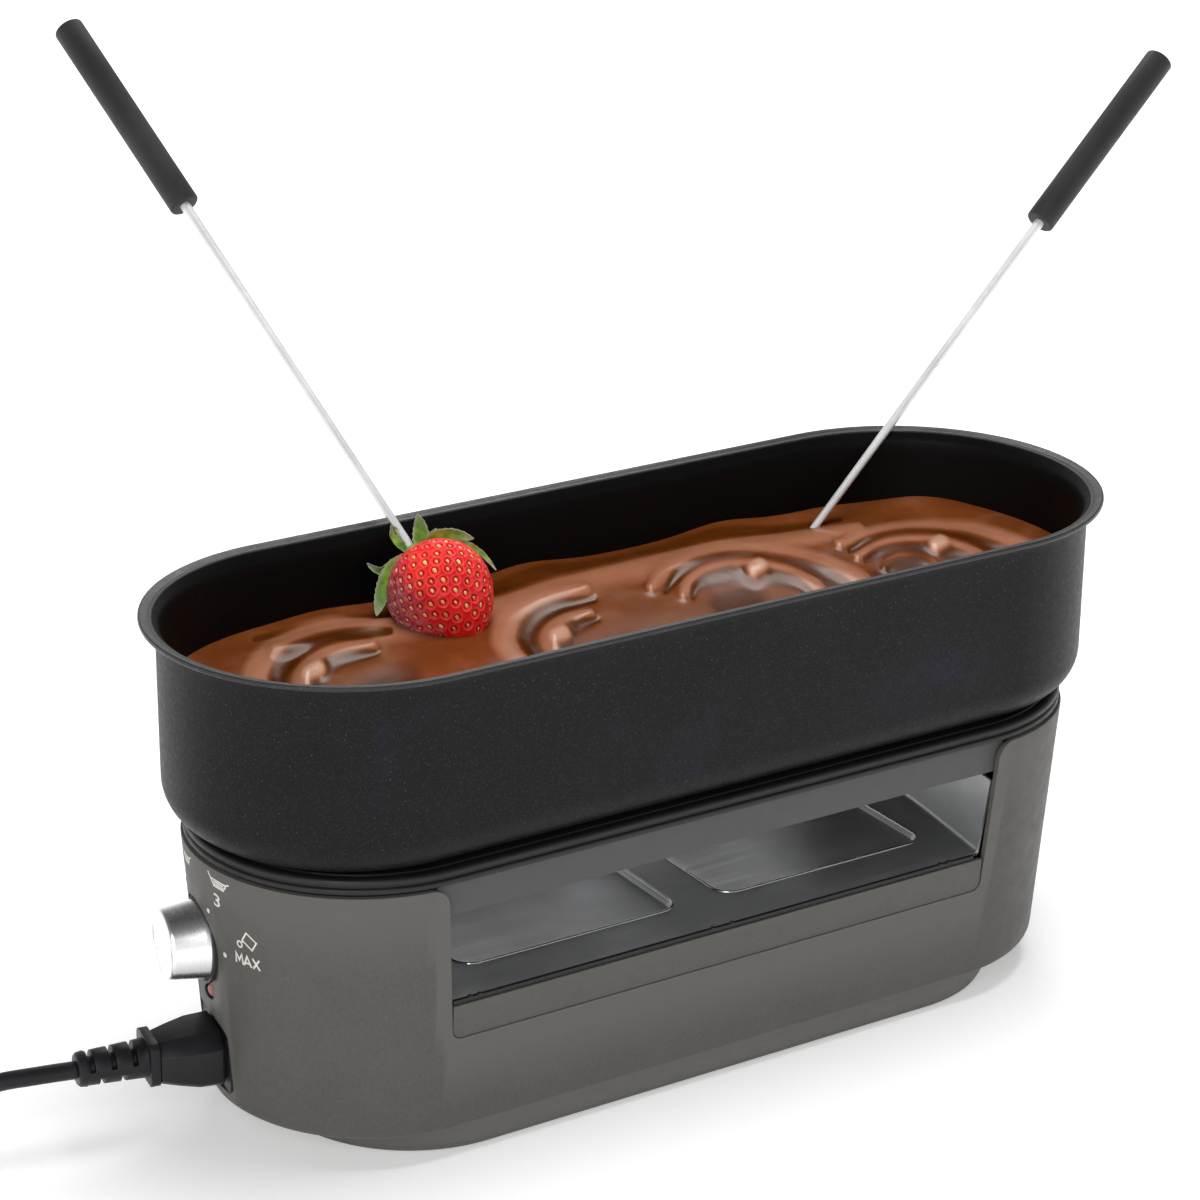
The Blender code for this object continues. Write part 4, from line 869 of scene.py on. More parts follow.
def make_knob():
    """Knob with a chamfered face and a pointer groove, and its dark bezel."""
    axis_point = at_end(0, 0, KNOB_HEIGHT)
    seat = flat_out(KNOB_HEIGHT)
    back, front = seat + 0.7, 76.6
    profile = [(back, 3.4), (back, 14.5), (back + 0.2, 14.75), (back + 0.6, 14.8), (back + 2.0, 14.35),
               (front - 1.6, 12.95), (front - 0.9, 12.8), (front - 0.35, 12.45), (front - 0.1, 12.1),
               (front, 11.7),
               (front - 0.18, 11.4), (front - 0.2, 0.2)]
    knob = turned("dial_knob", axis_point, OUT, profile, MATERIALS["satin_aluminium"], 128)
    off = math.radians(-125)
    sideways = SIDE * math.sin(off) + Vector((0, 0, math.cos(off)))
    across = OUT.cross(sideways)
    start = axis_point + OUT * (front - 0.6) + sideways * 5.5
    corners = [start - across * 0.55, start + across * 0.55, start + across * 0.55 + sideways * 9,
               start - across * 0.55 + sideways * 9]
    combine(knob, extruded("groove", corners, OUT * 2, MATERIALS["satin_aluminium"]))
    place(knob, "knob", "satin_aluminium", "control_knob", angle=28)
    ring = [(seat + 0.1, 4.8), (seat + 0.1, 16.3), (seat + 0.9, 16.3), (seat + 1.2, 16.0),
            (seat + 1.2, 15.5),
            (seat + 0.4, 15.1), (seat + 0.4, 4.8)]
    bezel = turned("dial_bezel", axis_point, OUT, ring, MATERIALS["black_plastic"], 96, True)
    place(bezel, "base", "black_plastic", "knob_bezel")


def make_lamp():
    """Domed lens in a dark ring, its face turned a little to the front."""
    face = flat_out(LAMP_HEIGHT)
    centre = at_end(face - 0.3, LAMP_SIDE, LAMP_HEIGHT)
    axis = (OUT * math.cos(math.radians(20)) + SIDE * math.sin(math.radians(20))).normalized()
    ring = [(-2.5, 2.75), (-2.5, 3.35), (0.45, 3.35), (0.65, 3.1), (0.3, 2.75)]
    place(turned("lamp_surround", centre, axis, ring, MATERIALS["black_plastic"], 48, True),
          "base", "black_plastic", "lamp_ring")
    lens = [(-5, 2.5), (-0.5, 2.5), (0.0, 2.3), (0.3, 1.9), (0.5, 1.1), (0.56, 0.3)]
    place(turned("lamp_lens", centre, axis, lens, MATERIALS["lens_red"], 48), "base", "lens_red",
          "indicator_lens")


def on_shell(arc, z, lift):
    """Point on the shell's round end, from arc length along it, height and lift off the surface."""
    radius = shell_radius(z)
    angle = arc / radius
    outward = OUT * math.cos(angle) + SIDE * math.sin(angle)
    return END_CENTRE + outward * (radius + lift) + Vector((0, 0, z))


def wrapped(name, flat_mesh, arc, z, tilt):
    """Lay a flat mesh (x, y in mm) on the shell and give it the thickness of ink."""
    body = bmesh.new()
    body.from_mesh(flat_mesh)
    bmesh.ops.triangulate(body, faces=body.faces)
    for _ in range(3):
        long_edges = [e for e in body.edges if e.calc_length() > 0.8]
        bmesh.ops.subdivide_edges(body, edges=long_edges, cuts=1)
        bmesh.ops.triangulate(body, faces=body.faces)
    faces = list(body.faces)
    bmesh.ops.reverse_faces(body, faces=[f for f in faces if f.normal.z < 0])
    ca, sa = math.cos(tilt), math.sin(tilt)
    flat = {v: (v.co.x * ca + v.co.y * sa, -v.co.x * sa + v.co.y * ca) for v in body.verts}
    top = bmesh.ops.extrude_face_region(body, geom=faces)
    raised = {v for v in top["geom"] if isinstance(v, bmesh.types.BMVert)}
    for vertex in raised:
        flat[vertex] = (vertex.co.x * ca + vertex.co.y * sa, -vertex.co.x * sa + vertex.co.y * ca)
    for vertex in body.verts:
        u, v = flat[vertex]
        vertex.co = on_shell(arc + u, z + v, 0.11 if vertex in raised else 0.03)
    bmesh.ops.recalc_face_normals(body, faces=body.faces)
    mesh = bpy.data.meshes.new(name)
    body.to_mesh(mesh)
    body.free()
    mesh.materials.append(PRINT)
    obj = bpy.data.objects.new(name, mesh)
    bpy.context.scene.collection.objects.link(obj)
    return place(obj, "base", "shell_plastic")


def flat_text(words, height, weight, wide):
    """Flat mesh of centred lettering, given the height of a capital and a stretch sideways."""
    curve = bpy.data.curves.new("words", "FONT")
    curve.body = words
    curve.align_x = "CENTER"
    curve.align_y = "CENTER"
    curve.size = height / 0.69
    curve.offset = weight
    curve.resolution_u = 4
    holder = bpy.data.objects.new("words", curve)
    bpy.context.scene.collection.objects.link(holder)
    mesh = bpy.data.meshes.new_from_object(holder.evaluated_get(bpy.context.evaluated_depsgraph_get()))
    bpy.data.objects.remove(holder)
    mesh.transform(Matrix.Diagonal((wide, 1, 1, 1)))
    return mesh


def flat_strokes(strokes, width):
    """Flat mesh of pen strokes, each a list of (u, v), closed where the ends meet."""
    mesh = bpy.data.meshes.new("strokes")
    points, faces = [], []
    for stroke in strokes:
        line = [Vector(p) for p in stroke]
        closed = (line[0] - line[-1]).length < 1e-6
        if closed:
            line = line[:-1]
        count, start = len(line), len(points)
        for i, here in enumerate(line):
            back = line[i - 1] if closed or i else here - (line[i + 1] - here)
            ahead = line[(i + 1) % count] if closed or i < count - 1 else here + (here - line[i - 1])
            a, b = (here - back).normalized(), (ahead - here).normalized()
            normal = Vector((-(a + b).y, (a + b).x)).normalized()
            reach = width / 2 / max(0.45, normal.dot(Vector((-a.y, a.x))))
            points.append((*(here + normal * reach), 0))
            points.append((*(here - normal * reach), 0))
        for i in range(count if closed else count - 1):
            j = (i + 1) % count
            faces.append((start + 2 * i, start + 2 * i + 1, start + 2 * j + 1, start + 2 * j))
    mesh.from_pydata(points, [], faces)
    return mesh


def disc(radius, steps=20):
    """Flat round dot."""
    mesh = bpy.data.meshes.new("dot")
    turns = [2 * math.pi * i / steps for i in range(steps)]
    mesh.from_pydata([(radius * math.cos(a), radius * math.sin(a), 0) for a in turns], [],
                     [tuple(range(steps))])
    return mesh


def ring_line(cx, cy, radius, steps=14):
    """Closed round stroke."""
    return [(cx + radius * math.cos(2 * math.pi * i / steps),
             cy + radius * math.sin(2 * math.pi * i / steps))
            for i in range(steps)] + [(cx + radius, cy)]


def pot_icon():
    """Small pot on a stand with two forks leaning out of it."""
    body = [(-4.2, 1.3), (-3.9, 0.3), (-3.2, -0.5), (3.2, -0.5), (3.9, 0.3), (4.2, 1.3), (-4.2, 1.3)]
    strokes = [body, [(-2.9, 0.45), (2.9, 0.45)], [(-3.1, -1.3), (3.1, -1.3)]]
    return strokes + [[(-4.2, 1.3), (-5.2, 2.1), (-5.9, 3.2)], [(4.2, 1.3), (5.2, 1.9), (6.0, 2.0)]]


def make_print():
    """Scale round the knob: dots, numbers and small pictures."""
    marks = [("dot_off", -125), ("dot_1", -80), ("dot_2", -35), ("dot_3", 38), ("dot_max", 83)]
    for label, turn in marks:
        a = math.radians(turn)
        wrapped(f"print_{label}", disc(0.95), 21.5 * math.sin(a), KNOB_HEIGHT + 21.5 * math.cos(a), 0)
    words = [("3", 20.1, 97.9, 6, 4.9, 1.35), ("2", -10.6, 97.2, -6, 4.9, 1.3),
             ("1", -25.6, 78.6, -8, 4.9, 1.3), ("OFF", -24.5, 57.6, -3, 3.9, 1.1)]
    for word, arc, z, tilt, height, wide in words:
        wrapped(f"print_{word.lower()}", flat_text(word, height, 0.06, wide), arc, z, math.radians(tilt))
    letters = [[(-5.6, -2), (-5.3, 2), (-3.9, -0.6), (-2.5, 2), (-2.2, -2)],
               [(-1.7, -2), (0, 2), (1.7, -2)],
               [(-1.1, -0.75), (1.1, -0.75)], [(2.5, 2), (5.5, -2)], [(5.5, 2), (2.5, -2)]]
    wrapped("print_max", flat_strokes(letters, 0.72), 33.2, 78.7, math.radians(1))
    wrapped("print_pot_3", flat_strokes(pot_icon(), 0.62), 22.0, 105.0, math.radians(3))
    wrapped("print_pot_2", flat_strokes(pot_icon(), 0.6), -4.2, 104.8, math.radians(-3))
    pan = [[(-2.3, 2.1), (2.8, 2.1), (2.8, -2.1), (-2.3, -2.1), (-2.3, 2.1)], [(-1.9, -2.2), (-2.2, -3.4)],
           ring_line(-2.4, -4.6, 1.15)]
    wrapped("print_pan", flat_strokes(pan, 0.62), 34.9, 87.2, math.radians(34))


# ---------------------------------------------------------------- pot

def inner_radius(z):
    """Inside radius of the pot's round ends at a height."""
    corner, inside = POT_CORNER - POT_WALL, POT_RADIUS - POT_WALL
    if z >= POT_FLOOR + corner:
        return inside + 0.2 * (z - POT_FLOOR) / (RIM_TOP - POT_FLOOR)
    drop = POT_FLOOR + corner - z
    return inside - corner + math.sqrt(max(corner ** 2 - drop ** 2, 0))


def make_pot():
    """Pressed pot with a soft bottom edge and a thin flared lip."""
    steps = 72
    outside = [(RING_OPENING - 0.9 - 4.5, POT_BOTTOM - 1.8, BASE_HALF),
               (RING_OPENING - 0.9, POT_BOTTOM - 1.8, BASE_HALF),
               (RING_OPENING - 0.9, POT_BOTTOM, BASE_HALF)]
    for k in range(17):
        a = math.radians(90 * k / 16)
        outside.append((POT_RADIUS - POT_CORNER + POT_CORNER * math.sin(a),
                        POT_BOTTOM + POT_CORNER - POT_CORNER * math.cos(a), POT_HALF))
    outside += [(68.0, 150, POT_HALF), (68.1, 175, POT_HALF)]
    lip = [(68.2, 186.6), (68.35, 188.0), (68.7, 189.2), (69.3, 190.0), (70.2, 190.5), (72.0, 191.0),
           (73.4, 191.4),
           (73.9, 191.75), (74.1, 192.2), (74.08, 192.8), (73.95, 193.2), (73.6, 193.4), (73.2, 193.36)]
    inner_lip = [(71.6, 192.75), (70.6, 192.45), (70.2, 192.55), (69.7, 192.5), (69.2, 192.1),
                 (68.4, 191.4), (67.4, 190.5),
                 (66.8, 189.6), (66.45, 188.4), (66.2, 186.5)]
    rings = [stadium(half, r, z, steps) for r, z, half in outside]
    rings += [stadium(POT_HALF, r, z, steps) for r, z in lip]
    first_lip = len(rings) - 7
    rings += [stadium(POT_HALF, r, z, steps) for r, z in inner_lip]
    last_lip = len(rings) - 6
    corner = POT_CORNER - POT_WALL
    heights = [POT_FLOOR + 62,
               POT_FLOOR + 40] + [POT_FLOOR + corner * (1 - math.sin(math.radians(90 * k / 12)))
                                                  for k in range(13)]
    rings += [stadium(POT_HALF, inner_radius(z), z, steps) for z in heights]
    pot = loft("pot_body", rings, MATERIALS["nonstick_coating"])
    # The lip rings take the lighter copy of the coating (painted highlight), the inside the darker copy
    # (painted shade).
    pot.data.materials.append(LIT_LIP_COAT)
    pot.data.materials.append(SHADED_INSIDE_COAT)
    count = len(rings[0])
    for face in pot.data.polygons:
        ring = min(face.vertices) // count
        if ring >= last_lip:
            face.material_index = 2
        elif ring >= first_lip:
            face.material_index = 1
    pot.data.polygons[-2].material_index = 0
    return place(pot, "pot", "nonstick_coating", "pot", angle=40)


# ---------------------------------------------------------------- chocolate

CHOCOLATE_LEVEL = 162.3
CHOCOLATE_BOTTOM = 150.0
GRID_ALONG = 640
GRID_ACROSS = 151
# Directions of the pouring stroke over the surface: folds are drawn out along the second.
POUR_ACROSS = (0.855, -0.519)
POUR_ALONG = (0.519, 0.855)
POUR_STRETCH = 0.37
# Spoon swirls of the poured surface: eye (x, y), outer radius, first and last bearing, number of rings.
SWIRLS = [
    ((-110, -5), 60, 60, 205, 2),
    ((-15, -20), 60, 75, 195, 2),
    ((45, 0), 55, -40, 130, 2),
    ((115, -10), 60, -35, 95, 3),
]
RING_STEP = 0.38        # each ring lies this share of the outer radius inside the last
SPIRAL = 0.36           # and closes in by this share of its own radius along its length
# Lazy pours along the pot: distance from the middle line, half width, tone. A light tone is partly painted
# highlight, a dark tone partly painted shade.
POURS = [(-45, 5.0, 0.9), (-28, 4.0, -0.8), (45, 6.0, 0.8), (57, 3.0, -0.8)]
POUR_WAVE = 5.0
POUR_LENGTH = 130.0


def swirl_strokes(eye, outer, first, last, rings):
    """Ridges of one spoon spiral with a crease inside each, its eye and a glint: light ridges are partly
    painted highlight, dark creases and the eye partly painted shade, the glint a painted highlight.
    """
    strokes = []
    for ring in range(rings):
        radius = outer * (1 - RING_STEP * ring)
        for inset, half, tone, soft in ((0.0, 5.0, 0.9, 0.6), (0.17, 3.4, -0.95, 0.7)):
            knots = []
            for step in range(7):
                share = step / 6
                bearing = math.radians(first + (last - first) * share + 9 * ring)
                reach = radius * (1 - inset) * (1 - SPIRAL * share)
                knots.append((eye[0] + reach * math.cos(bearing), eye[1] + reach * math.sin(bearing)))
            strokes.append((knots, half * (1 - 0.16 * ring), tone, soft))
    # Dark eye in a hollow: painted shade. Pale spot halfway out: painted highlight.
    inner = outer * 0.14
    middle = math.radians((first + last) / 2)
    glint = (eye[0] + outer * 0.5 * math.cos(middle), eye[1] + outer * 0.5 * math.sin(middle))
    strokes.append(([(eye[0] - inner, eye[1]), (eye[0] + inner, eye[1] + 2)], inner * 0.6, -0.9, 0.9))
    strokes.append(([glint, (glint[0] + 5, glint[1] + 2)], 2.6, 1.6, 0.9))
    return strokes


def fold_strokes():
    """Every fold, from the widest below to the swirls on top: (points, half width, tone, softness)."""
    strokes = []
    for y, half, tone in POURS:
        steps = [-1 + k / 4 for k in range(9)]
        knots = [(POUR_LENGTH * s, y + POUR_WAVE * math.sin(4 * s + y)) for s in steps]
        strokes.append((knots, half, tone, 0.8))
    for swirl_and_painted_light in SWIRLS:
        strokes += swirl_strokes(*swirl_and_painted_light)
    return strokes


# Where the chocolate climbs higher on the back wall: (x, rise, half width).
CLIMBS = [(-100, 2, 20), (-10, 3, 20), (80, 3, 20), (170, 3, 15)]


def fold_surface(points):
    """Height and tone of the poured surface over flat (x, y) points; the tone is partly painted highlight
    on light folds and painted shade in dark ones.
    """
    across = points @ np.array(POUR_ACROSS)
    along = points @ np.array(POUR_ALONG) * POUR_STRETCH
    height, tone = np.zeros(len(points)), np.zeros(len(points))
    for knots, half, strength, soft in fold_strokes():
        if len(knots) > 2:
            route = smooth_route([(*k, 0) for k in knots], 0.6)
        else:
            route = [Vector((*knots[0], 0)).lerp(Vector((*knots[1], 0)), k / 16) for k in range(17)]
        gap = np.full(len(points), 1e9)
        for k, here in enumerate(route):
            u = here.x * POUR_ACROSS[0] + here.y * POUR_ACROSS[1]
            v = (here.x * POUR_ALONG[0] + here.y * POUR_ALONG[1]) * POUR_STRETCH
            t = k / (len(route) - 1)
            thin = 0.2 + 0.8 * math.sin(math.pi * (0.9 * t + 0.05)) if len(knots) > 3 else 1.0
            gap = np.minimum(gap, np.hypot(across - u, along - v) / thin)
        blur = max(half * min(soft * 1.25 + 0.12, 1.1), 0.3)
        edge = np.clip((half + blur / 2 - gap) / blur, 0, 1)
        cover = edge * edge * (3 - 2 * edge)
        tone = tone * (1 - cover) + strength * cover
        lift = 0.38 * min(strength, 1.6) if strength > 0 else 0.16 * max(strength, -1.2)
        height += lift * min(half, 4.5) * np.exp(-(gap / (half * 1.15)) ** 2)
    return height, tone


def make_chocolate():
    """Poured chocolate: a folded top surface that climbs a little at the pot's wall, closed below."""
    reach = inner_radius(CHOCOLATE_LEVEL) - 0.12
    xs = np.linspace(-POT_HALF - reach, POT_HALF + reach, GRID_ALONG)
    wide = np.sqrt(np.maximum(reach ** 2 - np.maximum(np.abs(xs) - POT_HALF, 0) ** 2, 0))
    spread = np.sin(np.linspace(-math.pi / 2, math.pi / 2, GRID_ACROSS))
    count = len(spread)
    flat = np.array([(x, y * w) for x, w in zip(xs, wide) for y in spread])
    height, tone = fold_surface(flat)
    over = np.maximum(np.abs(flat[:, 0]) - POT_HALF, 0)
    wall_gap = np.maximum(reach - np.hypot(over, flat[:, 1]), 0)
    fade = np.clip(wall_gap / 6.0, 0, 1)
    fade = fade * fade * (3 - 2 * fade)
    climb = 1.1 * np.exp(-wall_gap / 3.0)
    for x, rise, half in CLIMBS:
        climb += rise * np.exp(-((flat[:, 0] - x) / half) ** 2 - (wall_gap / 12) ** 2) * (flat[:, 1] > -30)
    top = CHOCOLATE_LEVEL + height * (0.25 + 0.75 * fade) + climb
    tone = tone * (0.35 + 0.65 * np.clip(wall_gap / 4.0, 0, 1))
    faces = []
    for i in range(len(xs) - 1):
        for j in range(count - 1):
            a = i * count + j
            faces.append((a, a + count, a + count + 1, a + 1))
    points = [(x, y, z) for (x, y), z in zip(flat, top)]
    border = [j for j in range(count)] + [i * count + count - 1 for i in range(1, len(xs))]
    border += [(len(xs) - 1) * count + j for j in range(count - 2, -1,
            -1)] + [i * count for i in range(len(xs) - 2, 0, -1)]
    start = len(points)
    points += [(points[k][0], points[k][1], CHOCOLATE_BOTTOM) for k in border]
    for k in range(len(border)):
        j = (k + 1) % len(border)
        faces.append((border[k], border[j], start + j, start + k))
    faces.append(tuple(start + k for k in range(len(border))))
    mesh = bpy.data.meshes.new("chocolate_pool")
    mesh.from_pydata(points, [], faces)
    # Fold tone, partly painted highlight and painted shade, stored on the points for the material.
    swirl_and_painted_light = mesh.attributes.new("swirl_and_painted_light", "FLOAT", "POINT")
    swirl_and_painted_light.data.foreach_set("value", np.concatenate([tone, np.zeros(len(border))]).astype(np.float32))
    mesh.materials.append(MATERIALS["chocolate"])
    body = bmesh.new()
    body.from_mesh(mesh)
    bmesh.ops.remove_doubles(body, verts=body.verts, dist=0.01)
    bmesh.ops.recalc_face_normals(body, faces=body.faces)
    body.to_mesh(mesh)
    body.free()
    pool = bpy.data.objects.new("chocolate_pool", mesh)
    bpy.context.scene.collection.objects.link(pool)
    return place(pool, "pot", "chocolate", "chocolate_fill", angle=70)


# ---------------------------------------------------------------- forks

class Fork:
    """A fork's line: where its rod leans on the lip, and which way it points."""

    def __init__(self, name, lip_point, azimuth, elevation, handle_end):
        self.name = name
        self.lip = Vector(lip_point)
        a, e = math.radians(azimuth), math.radians(elevation)
        self.along = Vector((math.cos(a) * math.cos(e), math.sin(a) * math.cos(e), math.sin(e)))
        self.end = handle_end
        self.tip = handle_end - FORK_LENGTH

    def point(self, distance):
        """Point on the fork's axis, measured from the lip towards the handle."""
        return self.lip + self.along * distance


LIP_TURN = math.radians(29.3)
LEFT_FORK = Fork("left_fork", (-66.2, LIP_RADIUS, LIP_HEIGHT), 100.5, 38.0, 251.8)
RIGHT_FORK = Fork("right_fork", (POT_HALF + LIP_RADIUS * math.sin(LIP_TURN),
                                 LIP_RADIUS * math.cos(LIP_TURN), LIP_HEIGHT), 12.0, 37.0, 208.9)
TINE_SPREAD = 2.9
TINE_LENGTH = 22.0


def make_fork(fork):
    """Round black handle and a drawn steel rod with two tines."""
    grip = fork.end - HANDLE_LENGTH
    profile = [(grip + 0.3, ROD_RADIUS + 0.75), (grip + 0.05, ROD_RADIUS + 1.0),
               (grip, HANDLE_RADIUS - 1.0)]
    for edge in (30, 60, 90):
        a = math.radians(edge)
        profile.append((grip + 1.0 * (1 - math.cos(a)), HANDLE_RADIUS - 1.0 * (1 - math.sin(a))))
    profile += [(grip + 20, HANDLE_RADIUS - 0.03), (fork.end - 20, HANDLE_RADIUS)]
    for edge in (0, 22, 45, 67, 90):
        a = math.radians(edge)
        profile.append((fork.end - 0.9 * (1 - math.sin(a)), HANDLE_RADIUS - 0.9 * (1 - math.cos(a))))
    profile.append((fork.end + 0.0, 0.4))
    handle = turned(f"{fork.name}_grip", fork.lip, fork.along, profile, MATERIALS["handle_plastic"], 64)
    place(handle, fork.name, "handle_plastic", f"{fork.name}_handle")
    yoke = fork.tip + TINE_LENGTH
    rod = turned(f"{fork.name}_shaft", fork.lip, fork.along,
                 [(yoke, ROD_RADIUS), (grip + 1, ROD_RADIUS + 0.65)], MATERIALS["rod_steel"], 28)
    side, up = frame_of(fork.along)
    bar = [fork.point(yoke - 0.8) + side * (s * (TINE_SPREAD + 0.8)) + up * (u * 1.1)
           for s, u in ((-1, -1), (1, -1), (1, 1), (-1, 1))]
    combine(rod, extruded("bar", bar, fork.along * 2.4, MATERIALS["rod_steel"]), "UNION")
    for sign in (-1, 1):
        line = fork.lip + side * (sign * TINE_SPREAD)
        tine = turned("tine", line, fork.along, [(fork.tip, 0.2), (fork.tip + 3, 0.9), (yoke, 0.9)],
                      MATERIALS["rod_steel"], 16)
        combine(rod, tine, "UNION")
    place(rod, fork.name, "polished_steel", f"{fork.name}_rod")


# ---------------------------------------------------------------- strawberry

BERRY_LENGTH = 44.0
BERRY_RADIUS = 19.8
BERRY_DOWN = -LEFT_FORK.along
BERRY_TOP = LEFT_FORK.point(-13.5)


def berry_radius(part):
    """Radius at a part of the length from the leaves to the tip."""
    return BERRY_RADIUS * 2.259 * max(part, 0) ** 0.5 * max(1 - part, 0) ** 0.7


def berry_point(part, turn, lift=0.0):
    """Point on the berry's skin and the outward direction there."""
    side, up = frame_of(BERRY_DOWN)
    lumps = 1 + 0.02 * math.sin(3 * turn + 1.0) + 0.012 * math.sin(5 * turn + 4 * part)
    outward = side * math.cos(turn) + up * math.sin(turn)
    here = berry_radius(part) * lumps
    ahead, behind = berry_radius(min(part + 0.01, 0.999)), berry_radius(max(part - 0.01, 0.001))
    slope = (ahead - behind) / (0.02 * BERRY_LENGTH)
    normal = (outward - BERRY_DOWN * slope).normalized()
    return BERRY_TOP + BERRY_DOWN * (BERRY_LENGTH * part) + outward * here + normal * lift, normal


def berry_seeds():
    """Places of the achenes: a spiral spread evenly over the skin."""
    parts = np.linspace(0.0005, 0.9995, 2000)
    area = np.cumsum([berry_radius(p) for p in parts])
    area /= area[-1]
    seeds = []
    count = 235
    for i in range(count):
        part = float(np.interp((i + 0.5) / count, area, parts))
        if 0.04 < part < 0.97:
            seeds.append((part, i * math.radians(137.508) + 0.03 * math.sin(i * 12.9898)))
    return seeds


def make_berry():
    """Strawberry with dimples and achenes."""
    seeds = berry_seeds()
    finder = kdtree.KDTree(len(seeds))
    for i, (part, turn) in enumerate(seeds):
        finder.insert(berry_point(part, turn)[0], i)
    finder.balance()
    around, rows = 260, 190
    rings, dimple_light_and_shade = [], []
    for k in range(rows + 1):
        part = 0.003 + 0.994 * (0.5 - 0.5 * math.cos(math.pi * k / rows))
        ring = []
        for j in range(around):
            here, normal = berry_point(part, 2 * math.pi * j / around)
            gap = finder.find(here)[2]
            dent = -0.95 * math.exp(-(gap / 1.25) ** 2) + 0.25 * math.exp(-((gap - 2.0) / 0.6) ** 2)
            ring.append(here + normal * dent)
            # Dimple value: high in each dimple for painted shade, low on its rim for painted highlight.
            dip = math.exp(-(gap / 1.35) ** 4)
            brim = math.exp(-((gap - 1.85) / 0.4) ** 2)
            dimple_light_and_shade.append(0.4 + 0.6 * dip - 0.4 * brim)
        rings.append(ring)
    berry = loft("strawberry_fruit", rings, MATERIALS["strawberry_skin"])
    dimple_shade_and_rim_highlight = berry.data.attributes.new("dimple_shade_and_rim_highlight", "FLOAT", "POINT")
    dimple_shade_and_rim_highlight.data.foreach_set("value", dimple_light_and_shade)
    place(berry, "left_fork", "strawberry_skin", "strawberry", angle=180)

    points, faces = [], []
    for i, (part, turn) in enumerate(seeds):
        here, normal = berry_point(part, turn, -0.62)
        down = (BERRY_DOWN - normal * BERRY_DOWN.dot(normal)).normalized()
        across = normal.cross(down)
        size = 0.85 + 0.15 * math.sin(i * 3.7)
        start = len(points)
        rings_s = ((0.0, 0.55), (0.62, 0.95), (0.95, 0.7), (1.1, 0.25))
        for rise, wide in rings_s:
            for k in range(8):
                a = 2 * math.pi * k / 8
                pinch = 1.0 - 0.25 * math.cos(a)
                points.append(here + normal * (rise * 0.5) + down * (1.2 * size * wide * math.cos(a))
                              + across * (0.76 * size * wide * math.sin(a) * pinch))
        for r in range(3):
            for k in range(8):
                j = (k + 1) % 8
                faces.append((start + r * 8 + k, start + r * 8 + j, start + r * 8 + 8 + j,
                              start + r * 8 + 8 + k))
        faces.append(tuple(start + k for k in reversed(range(8))))
        faces.append(tuple(start + 24 + k for k in range(8)))
    achenes = add_mesh("strawberry_achenes", points, faces, SEED)
    place(achenes, "left_fork", "strawberry_skin", angle=60)


# Directions the crown is laid out in: to the right of the dial end, up, and away to the back.
LEAF_RIGHT = Vector((0.855, -0.519, 0.0)).normalized()
LEAF_BACK = Vector((0.486, 0.801, -0.35)).normalized()
LEAF_UP = LEAF_RIGHT.cross(LEAF_BACK).normalized()
# Sepals: centre line (right, up, back) from the stalk, half width, twist in degrees, cupping.
SEPALS = [
    ([(3.4, -0.6, 0), (3.2, 5.0, 0.2), (2.6, 9.8, 0.2), (1.6, 13.8, -1.0)], 3.4, -12, 0.4),
    ([(3.6, -0.4, -0.6), (8.8, 4.6, -1.2), (15.6, 6.0, -1.6), (22.6, 4.6, -3.0)], 3.3, 18, 0.4),
    ([(4.2, 0.6, 0.4), (6.6, 5.0, 1.2), (8.6, 8.4, 1.2)], 1.9, 8, 0.3),
    ([(0.6, -0.6, 0), (-4.2, 1.4, 0.8), (-7.9, 5.0, 0.8), (-8.4, 9.4, -0.6)], 1.7, 40, 0.8),
    ([(0.2, 0.4, 1.0), (-3.4, 4.2, 2.2), (-6.2, 8.0, 2.4), (-8.0, 9.6, 1.0)], 1.2, -25, 0.6),
    ([(-0.2, -1.0, -0.6), (-6.0, -4.0, -2.0), (-11.9, -7.3, -3.0), (-17.2, -4.6, -3.4)], 2.0, -16, 0.6),
    ([(-1.0, -1.4, -1.6), (-7.6, -8.4, -5.4), (-11.2, -16.2, -7.0), (-13.4, -24.2, -7.6)], 4.0, 6, 0.3),
    ([(6.4, 0.4, -1.4), (16.8, 2.6, -3.4), (24.6, -0.6, -5.2), (30.9, -7.2, -6.2)], 1.5, -30, 0.6),
    ([(2.4, -0.6, 1.4), (7.0, -1.2, 4.0), (10.6, -4.0, 5.4)], 2.0, 60, 0.4),
    ([(0.4, -1.0, 1.4), (-2.0, -3.6, 4.0), (-4.0, -8.0, 4.6)], 2.2, 60, 0.4),
]


